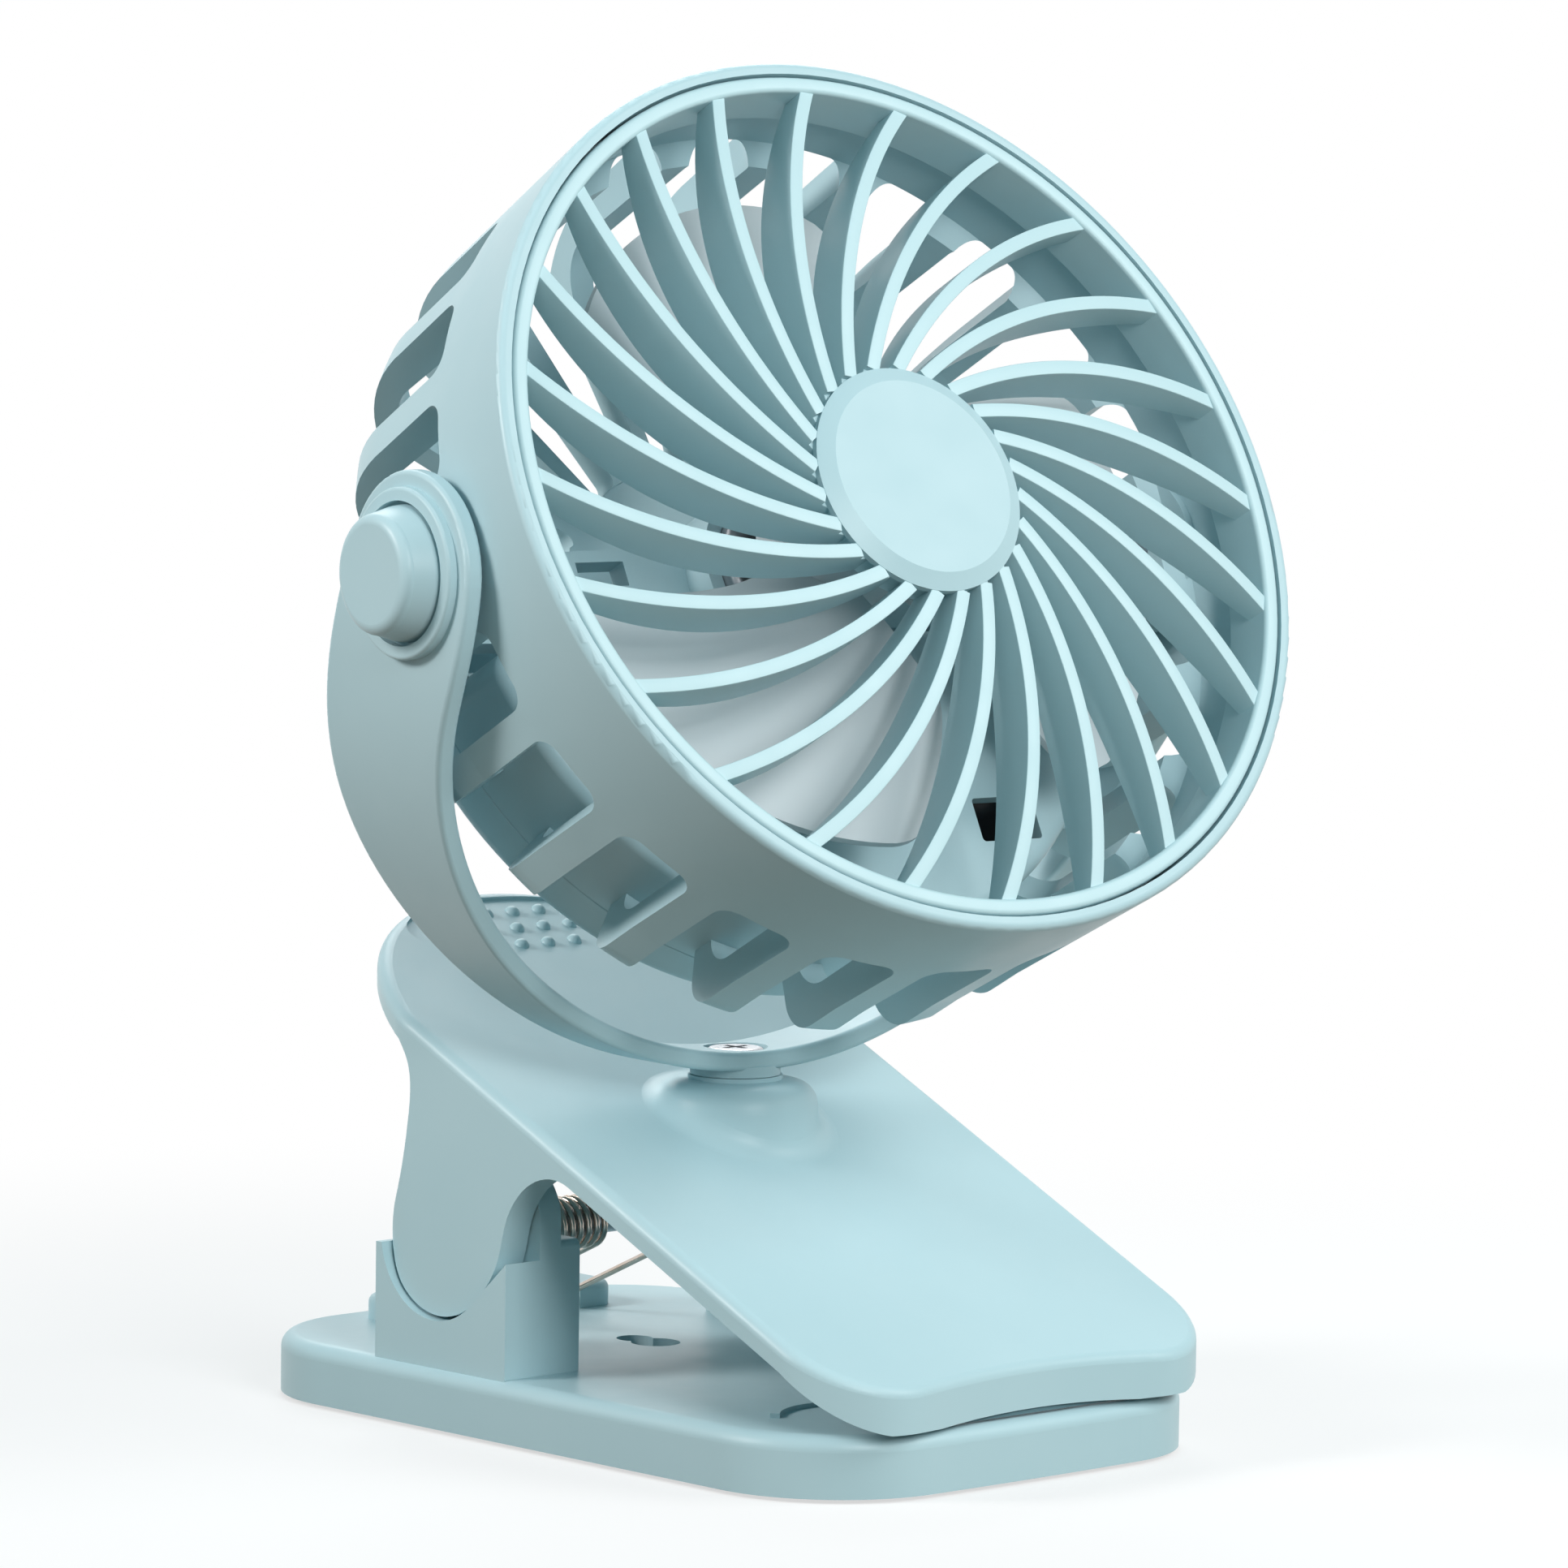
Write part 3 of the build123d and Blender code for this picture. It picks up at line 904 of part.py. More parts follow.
with BuildPart() as head_housing:
    with BuildSketch(head_section):
        add(housing_section(True))
    revolve(axis=head_axis)
    # below the top of the pod the back is flat and lies further forward
    with BuildPart(mode=Mode.PRIVATE) as low_back:
        with BuildSketch(head_section):
            add(housing_section(False))
        revolve(axis=head_axis)
        with BuildSketch(head.offset(HEAD_FRONT + 1)):
            add(half_plane(POD_TOP, True))
        extrude(amount=DOME_REAR - HEAD_FRONT - 2, mode=Mode.SUBTRACT)
    with BuildSketch(head.offset(DOME_SHOULDER)):
        add(half_plane(POD_TOP, False))
    extrude(amount=DOME_REAR - DOME_SHOULDER - 1, mode=Mode.SUBTRACT)
    add(low_back.part)
    # pod tray for the battery, with a wall round the motor cup
    with BuildPart(mode=Mode.PRIVATE) as tray:
        with BuildSketch(head.offset(POD_SPLIT)):
            add(pod_outline(0, cup_gap))
        extrude(amount=POD_FRONT - POD_SPLIT)
        fillet(tray.faces().filter_by(head).sort_by(Axis(tilt_centre, head_dir))[-1].edges(), TRAY_EDGE)
    add(tray.part)
    with BuildSketch(head.offset(POD_SPLIT)):
        add(pod_outline(0, 0))
    extrude(amount=HEAD_REAR + REAR_DISC / 2 - POD_SPLIT)
    # radial vents in the back, none beside the tilt pivots and none behind the pod
    with BuildSketch(head.offset(DOME_REAR - 1)):
        for k in vent_steps:
            with BuildSketch(mode=Mode.PRIVATE) as slot:
                Polygon(polar(VENT_INNER, -half_vent), polar(HEAD_RADIUS + 6, -half_vent),
                        polar(HEAD_RADIUS + 6, half_vent), polar(VENT_INNER, half_vent), align=None)
                fillet(slot.vertices().group_by(Axis.X)[0], VENT_INNER_CORNER)
            add(slot.sketch.rotate(Axis.Z, k * VENT_PITCH))
        add(pod_outline(0, 0), mode=Mode.SUBTRACT)
    extrude(amount=VENT_STEP - DOME_REAR + 1, mode=Mode.SUBTRACT)
    # the same vents run on along the barrel, with rounded front corners
    with BuildPart(mode=Mode.PRIVATE) as barrel_vent:
        with BuildSketch(head.offset(DOME_REAR - 1)):
            Polygon(polar(POD_RADIUS + 1.5, -half_vent), polar(HEAD_RADIUS + 6, -half_vent),
                    polar(HEAD_RADIUS + 6, half_vent), polar(POD_RADIUS + 1.5, half_vent), align=None)
        extrude(amount=VENT_FRONT - DOME_REAR + 1)
        front_face = barrel_vent.faces().filter_by(head).sort_by(Axis(tilt_centre, head_dir))[-1]
        fillet(front_face.edges().filter_by(lambda e: e.length > 14), VENT_CORNER)
    add([barrel_vent.part.rotate(head_axis, k * VENT_PITCH) for k in vent_steps], mode=Mode.SUBTRACT)
    # pocket of the tray
    with BuildSketch(head.offset(POD_SPLIT)):
        add(pod_outline(POD_WALL, cup_gap + POD_WALL))
    extrude(amount=POD_FRONT - POD_WALL - POD_SPLIT, mode=Mode.SUBTRACT)
    # post that joins the cup to the dome, the motor cup, and the bridge that joins it to the sides
    with BuildSketch(head.offset(DOME_REAR + REAR_DISC / 2)):
        Circle(cup_outer)
        Circle(cup_outer - CUP_WALL, mode=Mode.SUBTRACT)
    extrude(amount=HEAD_REAR - DOME_REAR)
    with BuildSketch(head.offset(POD_SPLIT)):
        add(half_plane(POD_TOP + PANEL_GAP, False))
    extrude(amount=DOME_REAR - POD_SPLIT - 1, mode=Mode.SUBTRACT)
    with BuildSketch(head.offset(HEAD_REAR)):
        Circle(cup_outer)
    extrude(amount=REAR_DISC)
    with BuildSketch(head.offset(HEAD_REAR + REAR_DISC)):
        Circle(cup_outer)
        Circle(MOTOR_RADIUS + RUNNING_FIT, mode=Mode.SUBTRACT)
    extrude(amount=CUP_FRONT - HEAD_REAR - REAR_DISC)
    for side in (-1, 1):
        with BuildSketch(head.offset(ARM_REAR)):
            with Locations((side * (cup_outer - 0.5), 0)):
                Rectangle(HEAD_REAR_RADIUS - 2 - cup_outer, ARM_HEIGHT,
                          align=(Align.MIN if side > 0 else Align.MAX, Align.CENTER))
            with Locations((side * ARM_SLOT_X, ARM_SLOT_Y)):
                Rectangle(ARM_SLOT_LENGTH, ARM_SLOT_HEIGHT, mode=Mode.SUBTRACT)
        extrude(amount=ARM_FRONT - ARM_REAR)
        # boss of the tilt pivot
        boss_plane = Plane(tilt_centre + side_dir * (side * PIVOT_BOSS_INNER), x_dir=head.y_dir,
                           z_dir=side_dir * side)
        with BuildSketch(boss_plane):
            Circle(PIVOT_BOSS_RADIUS)
        extrude(amount=yoke_inner - PIVOT_BOSS_GAP - PIVOT_BOSS_INNER)
        with BuildSketch(boss_plane.offset(AXLE_END - PIVOT_BOSS_INNER)):
            Circle(AXLE_RADIUS)
        extrude(amount=HEAD_RADIUS - AXLE_END, mode=Mode.SUBTRACT)
        with BuildSketch(boss_plane):
            Circle(PIVOT_SCREW_RADIUS)
        extrude(amount=AXLE_END - PIVOT_BOSS_INNER, mode=Mode.SUBTRACT)
        with BuildSketch(boss_plane):
            Circle(PIVOT_SCREW_HEAD + PANEL_GAP)
        extrude(amount=-PIVOT_SCREW_ACCESS, mode=Mode.SUBTRACT)
    # inside the tray: saddles and end ribs for the cell, and posts for the screws of the cover
    tray_floor = POD_FRONT - POD_WALL
    with BuildSketch(head.offset(tray_floor)):
        with Locations((-CELL_SADDLE_X, CELL_Y), (CELL_SADDLE_X, CELL_Y)):
            Rectangle(CELL_SADDLE, 2 * CELL_RADIUS)
    extrude(amount=CELL_DEPTH - tray_floor)
    with Locations(cell_plane):
        Cylinder(CELL_RADIUS, CELL_LENGTH, mode=Mode.SUBTRACT)
    with BuildSketch(head.offset(tray_floor)):
        with Locations((-contact_x - CONTACT_THICKNESS / 2 - 1, CELL_Y),
                       (contact_x + CONTACT_THICKNESS / 2 + 1, CELL_Y)):
            Rectangle(2, CONTACT_SIZE + 2)
    extrude(amount=CELL_DEPTH - CONTACT_SIZE / 2 - tray_floor)
    with BuildSketch(head.offset(POD_SPLIT)):
        with Locations(*pod_screws):
            Circle(POST_RADIUS)
            Circle(POD_SCREW_RADIUS, mode=Mode.SUBTRACT)
    extrude(amount=tray_floor - POD_SPLIT)
    # window in the front wall of the tray
    with BuildSketch(head.offset(tray_floor - 1)):
        with Locations((WINDOW_X, WINDOW_Y)):
            RectangleRounded(WINDOW_WIDTH, WINDOW_HEIGHT, 0.6)
    extrude(amount=POD_WALL + 2, mode=Mode.SUBTRACT)
head_housing.part.label = "head_housing"
export_step(head_housing.part, "parts/head_housing.step")

# ---------------------------------------------------------------- front grille and hub cap
ring_outer = HEAD_RADIUS - HEAD_WALL - RING_GAP
ring_rear = HEAD_FRONT - RING_DEPTH + 0.1

with BuildPart() as front_grille:
    with BuildSketch(head.offset(ring_rear)):
        for k in range(RIB_COUNT):
            start = RIB_START + k * 360 / RIB_COUNT
            with BuildLine():
                ThreePointArc(polar(RING_INNER + 1, start), polar(RIB_MID_RADIUS, start + RIB_MID_TURN),
                              polar(RIB_END_RADIUS, start + RIB_END_TURN))
            trace(line_width=RIB_THICKNESS)
    extrude(amount=HUB_RIM - ring_rear + 2)
    # the ribs are thin at the ring, deep half way, and bulge forward towards the hub
    with BuildSketch(head_section):
        with BuildLine():
            ring_front = HEAD_FRONT - RING_EDGE
            ThreePointArc((RING_INNER + 1.5, ring_front), (RIB_MID_RADIUS, ring_front + 0.8 * RIB_DOME + 0.6),
                          (RIB_END_RADIUS - 2, ring_front + RIB_DOME + 0.9))
            Line((RIB_END_RADIUS - 2, ring_front + RIB_DOME + 0.9), (RIB_END_RADIUS - 2, HUB_DISC_REAR + 1))
            ThreePointArc((RIB_END_RADIUS - 2, HUB_DISC_REAR + 1),
                          (RIB_MID_RADIUS, HUB_DISC_FRONT - RIB_MID_DEPTH - 0.6),
                          (RING_INNER + 1.5, ring_front - RIB_RING_DEPTH))
            Line((RING_INNER + 1.5, ring_front - RIB_RING_DEPTH), (RING_INNER + 1.5, ring_front))
        make_face()
    revolve(axis=head_axis, mode=Mode.INTERSECT)
    with BuildSketch(head_section) as ring_profile:
        with Locations(((RING_INNER + ring_outer) / 2, ring_rear)):
            Rectangle(ring_outer - RING_INNER, HEAD_FRONT - ring_rear, align=(Align.CENTER, Align.MIN))
        fillet(ring_profile.vertices().group_by(Axis.Y)[-1], RING_EDGE)
    revolve(axis=head_axis)
    with BuildSketch(head.offset(HUB_DISC_REAR)):
        Circle(HUB_RADIUS - 0.7)
    extrude(amount=HUB_DISC_FRONT - HUB_DISC_REAR)
    with BuildSketch(head.offset(HUB_DISC_FRONT)):
        Circle(HUB_RADIUS)
    extrude(amount=HUB_FACE - HUB_DISC_FRONT, mode=Mode.SUBTRACT)
    # socket for the two pegs of the cap
    with BuildSketch(head.offset(HUB_DISC_FRONT)):
        with Locations((-PEG_X, 0), (PEG_X, 0)):
            Circle(PEG_RADIUS)
    extrude(amount=-PEG_LENGTH - 0.1, mode=Mode.SUBTRACT)
front_grille.part.label = "front_grille"
export_step(front_grille.part, "parts/front_grille.step")

with BuildPart() as hub_cap:
    with BuildSketch(head_section):
        with BuildLine():
            Polyline((0, HUB_DISC_FRONT), (HUB_RADIUS - RUNNING_FIT, HUB_DISC_FRONT),
                     (HUB_RADIUS - RUNNING_FIT, HUB_RIM), (HUB_RADIUS - HUB_BEVEL, HUB_FACE), (0, HUB_FACE),
                     close=True)
        make_face()
    revolve(axis=head_axis)
    with BuildSketch(head.offset(HUB_DISC_FRONT)):
        with Locations((-PEG_X, 0), (PEG_X, 0)):
            Circle(PEG_RADIUS)
    extrude(amount=-PEG_LENGTH)
hub_cap.part.label = "hub_cap"
export_step(hub_cap.part, "parts/hub_cap.step")

# ---------------------------------------------------------------- motor, shaft and impeller
with BuildPart() as motor:
    with BuildSketch(head.offset(MOTOR_REAR)):
        Circle(MOTOR_RADIUS)
    extrude(amount=MOTOR_FRONT - MOTOR_REAR)
    fillet(motor.faces().filter_by(head).sort_by(Axis(tilt_centre, head_dir))[-1].edges(), 1.0)
    with BuildSketch(head.offset(MOTOR_FRONT)):
        Circle(MOTOR_NOSE_RADIUS)
    extrude(amount=MOTOR_NOSE)
    with BuildSketch(head.offset(MOTOR_FRONT)):
        Circle(SHAFT_RADIUS + RUNNING_FIT)
    extrude(amount=MOTOR_NOSE, mode=Mode.SUBTRACT)
motor.part.label = "motor"
export_step(motor.part, "parts/motor.step")

with BuildPart() as motor_shaft:
    with BuildSketch(head.offset(MOTOR_FRONT + 0.1)):
        Circle(SHAFT_RADIUS)
    extrude(amount=SHAFT_FRONT - MOTOR_FRONT - 0.1)
motor_shaft.part.label = "motor_shaft"
export_step(motor_shaft.part, "parts/motor_shaft.step")

with BuildPart() as blade:
    # a twisted slab: each section is a radial strip, set further forward as it goes round
    for k in range(BLADE_SECTIONS):
        swing = BLADE_BACK + (BLADE_AHEAD - BLADE_BACK) * k / (BLADE_SECTIONS - 1)
        strip = Plane(origin=(0, 0, BLADE_MIDDLE + BLADE_LEAD * radians(swing)),
                      x_dir=(cos(radians(swing)), sin(radians(swing)), 0),
                      z_dir=(-sin(radians(swing)), cos(radians(swing)), 0))
        with BuildSketch(strip):
            with Locations(((IMPELLER_HUB_RADIUS + BLADE_TIP) / 2 - 1, 0)):
                Rectangle(BLADE_TIP - IMPELLER_HUB_RADIUS + 8, BLADE_THICKNESS)
    loft()
    # plan of the blade, seen from the front
    with BuildSketch() as blade_plan:
        with BuildLine():
            lead_corner = polar(BLADE_TIP - BLADE_SWEEP, 31.5)
            Spline(polar(8, -40), polar(22.5, -35.3), polar(BLADE_TIP, -43.5))
            ThreePointArc(polar(BLADE_TIP, -43.5), polar(BLADE_TIP, -2), lead_corner)
            Spline(lead_corner, polar(0.75 * BLADE_TIP, 38), polar(27.5, 45), polar(19.8, 40.8), polar(8, 12),
                   tangents=(polar(1, 190), polar(1, 241)))
            Line(polar(8, 12), polar(8, -40))
        make_face()
        fillet(blade_plan.vertices().sort_by(Axis.Y)[0], BLADE_CORNER)
        fillet(blade_plan.vertices().sort_by(Axis.Y)[-1], BLADE_LEAD_CORNER)
    extrude(amount=3 * BLADE_MIDDLE, mode=Mode.INTERSECT)

with BuildPart() as impeller:
    with BuildSketch(head_section):
        with BuildLine():
            dome = IMPELLER_FRONT - 2.5
            Polyline((0, IMPELLER_FRONT), (4, IMPELLER_FRONT))
            ThreePointArc((4, IMPELLER_FRONT), (8, IMPELLER_FRONT - 1.1), (IMPELLER_HUB_RADIUS, dome - 1.2))
            Polyline((IMPELLER_HUB_RADIUS, dome - 1.2), (IMPELLER_HUB_RADIUS, IMPELLER_REAR),
                     (IMPELLER_HUB_RADIUS - 1.5, IMPELLER_REAR), (IMPELLER_HUB_RADIUS - 1.5, dome - 1.5),
                     (3, dome - 0.3), (3, IMPELLER_REAR), (SHAFT_RADIUS, IMPELLER_REAR),
                     (SHAFT_RADIUS, SHAFT_FRONT), (0, SHAFT_FRONT), (0, IMPELLER_FRONT))
        make_face()
    revolve(axis=head_axis)
    with BuildPart(mode=Mode.PRIVATE) as hub_core:
        with BuildSketch(head):
            Circle(IMPELLER_HUB_RADIUS - 0.7)
        extrude(amount=IMPELLER_FRONT + 4)
    for k in range(BLADE_COUNT):
        add((head.location * Rot(0, 0, BLADE_START + k * 360 / BLADE_COUNT) * blade.part) - hub_core.part)
impeller.part.label = "impeller"
export_step(impeller.part, "parts/impeller.step")

# ---------------------------------------------------------------- rear cover and its screws
port_centre = (PORT_X, BOARD_Y)
light_centre = (LIGHT_X, BOARD_Y)
button_centre = (0, BOARD_Y)

with BuildPart() as rear_cover:
    with BuildSketch(head.offset(POD_SPLIT)):
        add(pod_outline(0, 0))
    extrude(amount=POD_REAR - POD_SPLIT)
    fillet(rear_cover.faces().filter_by(head).sort_by(Axis(tilt_centre, -head_dir))[-1].edges(), POD_EDGE)
    chamfer(rear_cover.faces().filter_by(head).sort_by(Axis(tilt_centre, head_dir))[-1].edges(), SEAM)
    with BuildSketch(head.offset(POD_SPLIT)):
        add(pod_outline(POD_WALL, 0))
    extrude(amount=pod_inner - POD_SPLIT, mode=Mode.SUBTRACT)
    with BuildSketch(head.offset(POD_SPLIT)):
        with Locations(*pod_screws):
            Circle(POST_RADIUS)
    extrude(amount=pod_inner - POD_SPLIT)
    with BuildSketch(head.offset(POD_SPLIT)):
        with Locations(*pod_screws):
            Circle(POD_SCREW_RADIUS + PANEL_GAP)
    extrude(amount=POD_REAR - POD_SPLIT, mode=Mode.SUBTRACT)
    with BuildSketch(head.offset(POD_REAR)):
        with Locations(*pod_screws):
            Circle(POD_SCREW_HEAD + PANEL_GAP / 2)
    extrude(amount=POD_SCREW_SINK, mode=Mode.SUBTRACT)
    with BuildSketch(head.offset(POD_REAR)):
        with Locations(button_centre):
            Circle(BUTTON_RADIUS + RUNNING_FIT)
        with Locations(light_centre):
            Circle(LIGHT_RADIUS)
        with Locations(port_centre):
            RectangleRounded(PORT_WIDTH + PANEL_GAP, PORT_HEIGHT + PANEL_GAP,
                             (PORT_HEIGHT + PANEL_GAP) / 2 - 0.01)
    extrude(amount=POD_WALL + 1, mode=Mode.SUBTRACT)
rear_cover.part.label = "rear_cover"
export_step(rear_cover.part, "parts/rear_cover.step")

with BuildPart() as cover_screws:
    with BuildSketch(head.offset(POD_REAR + POD_SCREW_SINK)):
        with Locations(*pod_screws):
            Circle(POD_SCREW_HEAD)
    extrude(amount=-POD_SCREW_SINK + 0.2)
    with BuildSketch(head.offset(POD_REAR + POD_SCREW_SINK)):
        with Locations(*pod_screws):
            Circle(POD_SCREW_RADIUS)
    extrude(amount=POD_SCREW_END - POD_REAR - POD_SCREW_SINK)
    with BuildSketch(head.offset(POD_REAR + 0.2)):
        with Locations(*pod_screws):
            Rectangle(POD_SCREW_HEAD, SCREW_SLOT)
            Rectangle(SCREW_SLOT, POD_SCREW_HEAD)
    extrude(amount=0.6, mode=Mode.SUBTRACT)
cover_screws.part.label = "cover_screws"
export_step(cover_screws.part, "parts/cover_screws.step")

# ---------------------------------------------------------------- battery, contacts and electronics

with BuildPart() as battery_cell:
    with Locations(cell_plane):
        Cylinder(CELL_RADIUS, CELL_LENGTH)
    fillet(battery_cell.edges().filter_by(GeomType.CIRCLE), 0.5)
    with Locations(cell_plane.offset(cell_end)):
        Cylinder(CELL_NUB_RADIUS, CELL_NUB, align=(Align.CENTER, Align.CENTER, Align.MIN))
battery_cell.part.label = "battery_cell"
export_step(battery_cell.part, "parts/battery_cell.step")

with BuildPart() as battery_contacts:
    for side in (-1, 1):
        with Locations(cell_plane.offset(side * contact_x)):
            Box(CONTACT_SIZE, CONTACT_SIZE, CONTACT_THICKNESS)
    # the contact on the flat end has a raised button
    with Locations(cell_plane.offset(-cell_end)):
        Cylinder(2.5, contact_x - cell_end, align=(Align.CENTER, Align.CENTER, Align.MAX))
battery_contacts.part.label = "battery_contacts"
export_step(battery_contacts.part, "parts/battery_contacts.step")

with BuildPart() as circuit_board:
    with BuildSketch(head.offset(BOARD_REAR)):
        with Locations((0, BOARD_Y)):
            RectangleRounded(BOARD_WIDTH, BOARD_HEIGHT, 0.8)
    extrude(amount=BOARD_THICKNESS)
circuit_board.part.label = "circuit_board"
export_step(circuit_board.part, "parts/circuit_board.step")

with BuildPart() as tact_switch:
    with BuildSketch(head.offset(BOARD_REAR)):
        with Locations(button_centre):
            RectangleRounded(SWITCH_SIZE, SWITCH_SIZE, 0.4)
    extrude(amount=-SWITCH_HEIGHT)
    with BuildSketch(head.offset(BOARD_REAR - SWITCH_HEIGHT)):
        with Locations(button_centre):
            Circle(SWITCH_PLUNGER)
    extrude(amount=-0.5)
tact_switch.part.label = "tact_switch"
export_step(tact_switch.part, "parts/tact_switch.step")

plunger_end = BOARD_REAR - SWITCH_HEIGHT - 0.5
flange_rear = pod_inner + 0.05

with BuildPart() as power_button:
    with BuildSketch(head.offset(POD_REAR - BUTTON_PROUD)):
        with Locations(button_centre):
            Circle(BUTTON_RADIUS)
    extrude(amount=POD_WALL + BUTTON_PROUD + 0.5)
    fillet(power_button.faces().filter_by(head).sort_by(Axis(tilt_centre, -head_dir))[-1].edges(), 0.5)
    with BuildSketch(head.offset(flange_rear)):
        with Locations(button_centre):
            Circle(BUTTON_RADIUS + BUTTON_FLANGE_STEP)
    extrude(amount=BUTTON_FLANGE)
    with BuildSketch(head.offset(flange_rear)):
        with Locations(button_centre):
            Circle(SWITCH_PLUNGER)
    extrude(amount=plunger_end - BUTTON_TRAVEL - 0.05 - flange_rear)
power_button.part.label = "power_button"
export_step(power_button.part, "parts/power_button.step")

with BuildPart() as usb_socket:
    with BuildSketch(head.offset(BOARD_REAR)):
        with Locations(port_centre):
            RectangleRounded(PORT_WIDTH, PORT_HEIGHT, PORT_HEIGHT / 2 - 0.01)
    extrude(amount=POD_REAR - BOARD_REAR + 0.1)
    with BuildSketch(head.offset(POD_REAR)):
        with Locations(port_centre):
            RectangleRounded(PORT_WIDTH - 2 * PORT_WALL, PORT_HEIGHT - 2 * PORT_WALL,
                             PORT_HEIGHT / 2 - PORT_WALL - 0.01)
            RectangleRounded(PORT_WIDTH - 2.6, 0.7, 0.2, mode=Mode.SUBTRACT)
    extrude(amount=BOARD_REAR - POD_REAR - 1, mode=Mode.SUBTRACT)
usb_socket.part.label = "usb_socket"
export_step(usb_socket.part, "parts/usb_socket.step")

with BuildPart() as status_light:
    with BuildSketch(head.offset(BOARD_REAR)):
        with Locations(light_centre):
            Circle(LIGHT_RADIUS)
    extrude(amount=POD_REAR - BOARD_REAR)
status_light.part.label = "status_light"
export_step(status_light.part, "parts/status_light.step")
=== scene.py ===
# %% [markdown]
# A clip fan in pale mint plastic. The CAD model of the fan is the fixed frame: its shells stay as
# they are and get their finish here. The grille, the blades and the spring are made again with
# finer shapes, because they catch the eye. Places of the studio are in metres. The new shapes are
# drawn in millimetres, because their sizes are easier to read so, and MM brings them to metres.

# %% Load the frame
import bpy
import bmesh
from math import acos, asin, atan2, cos, pi, radians, sin, sqrt, tan
from mathutils import Matrix, Vector
from mathutils.geometry import interpolate_bezier


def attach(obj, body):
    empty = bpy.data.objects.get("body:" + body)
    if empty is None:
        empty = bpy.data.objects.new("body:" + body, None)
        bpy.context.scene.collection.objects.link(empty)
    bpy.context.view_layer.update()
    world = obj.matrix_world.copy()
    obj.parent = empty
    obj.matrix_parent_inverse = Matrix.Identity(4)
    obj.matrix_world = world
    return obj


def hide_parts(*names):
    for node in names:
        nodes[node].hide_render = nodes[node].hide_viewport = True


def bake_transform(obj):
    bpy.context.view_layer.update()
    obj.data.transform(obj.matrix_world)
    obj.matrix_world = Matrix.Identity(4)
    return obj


MM = 0.001
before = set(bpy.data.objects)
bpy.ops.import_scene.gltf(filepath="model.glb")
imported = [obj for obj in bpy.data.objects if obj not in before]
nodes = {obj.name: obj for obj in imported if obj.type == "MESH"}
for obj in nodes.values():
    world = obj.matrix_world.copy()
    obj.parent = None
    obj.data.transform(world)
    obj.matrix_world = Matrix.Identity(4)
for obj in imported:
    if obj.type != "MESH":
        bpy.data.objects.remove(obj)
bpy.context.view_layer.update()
scene = bpy.context.scene
print("CAD nodes:", len(nodes))

# %% [markdown]
# The photograph is a product shot from the front left, a little above the fan, with a long lens.
# Its direction was found by matching the ellipses of the head and the corners of the base. A
# camera's matrix has its right, up and back directions as columns, so the view is worked out from
# three angles.

# %% Camera
VIEW_TURN = radians(-43.218)
VIEW_RISE = radians(5.162)
VIEW_ROLL = radians(0.827)
VIEW_TARGET = Vector((4.478, -5.793, 89.286)) * MM
VIEW_DISTANCE = 1052.562 * MM
VIEW_LIMIT = 20
LENS_IN_PIXELS = 9363.6
IMAGE_WIDTH = 1932
SENSOR = 36.0

back = Vector((sin(VIEW_TURN) * cos(VIEW_RISE),
               -cos(VIEW_TURN) * cos(VIEW_RISE),
               sin(VIEW_RISE)))
level = Vector((0, 0, 1)).cross(back).normalized()
upright = back.cross(level)
right = level * cos(VIEW_ROLL) + upright * sin(VIEW_ROLL)
up = upright * cos(VIEW_ROLL) - level * sin(VIEW_ROLL)
eye = VIEW_TARGET + back * VIEW_DISTANCE
camera_data = bpy.data.cameras.new("camera")
camera_data.sensor_width = SENSOR
camera_data.lens = LENS_IN_PIXELS / IMAGE_WIDTH * SENSOR
camera_data.clip_end = VIEW_LIMIT
camera = bpy.data.objects.new("camera", camera_data)
camera.matrix_world = Matrix((right, up, back)).transposed().to_4x4()
camera.location = eye
scene.collection.objects.link(camera)
scene.camera = camera
print("lens in mm:", round(camera_data.lens, 2), "eye:", [round(c, 3) for c in eye])

# %% [markdown]
# Materials, the sky and the Geometry Nodes are all trees of nodes. Two helpers build them, so that
# each node is one line that says what it is, what goes into it and how it is set.


# %% Helpers for node trees
def add_node(tree, kind, inputs=(), **settings):
    # inputs maps a socket to a plain value, or to the output of the node that feeds it
    node = tree.nodes.new(kind)
    for name, value in settings.items():
        setattr(node, name, value)
    for socket, value in dict(inputs).items():
        if isinstance(value, bpy.types.NodeSocket):
            tree.links.new(value, node.inputs[socket])
        else:
            node.inputs[socket].default_value = value
    return node


def new_tree(name, kind, inputs, outputs):
    # a group of nodes; inputs and outputs are its sockets, each as (name, type of the value)
    tree = bpy.data.node_groups.new(name, kind)
    for in_out, sockets in (("INPUT", inputs), ("OUTPUT", outputs)):
        for label, value in sockets:
            tree.interface.new_socket(name=label, in_out=in_out, socket_type="NodeSocket" + value)
    return tree, tree.nodes.new("NodeGroupInput"), tree.nodes.new("NodeGroupOutput")


# %% [markdown]
# The photograph was taken on a white ground, and its shaded sides go deep and teal. So the ground
# is white only to the camera, to mirrors and to clear plastic. Light Path tells those rays from
# the ones that gather light for the fan, and to these the sky is a dim teal.

# %% World
SKY_LIGHT = (0.10, 0.22, 0.25)
WHITE = (1.0, 1.0, 1.0)

scene.view_settings.view_transform = "Standard"
world = bpy.data.worlds.new("studio")
scene.world = world
world.use_nodes = True
sky = world.node_tree
sky.nodes.clear()


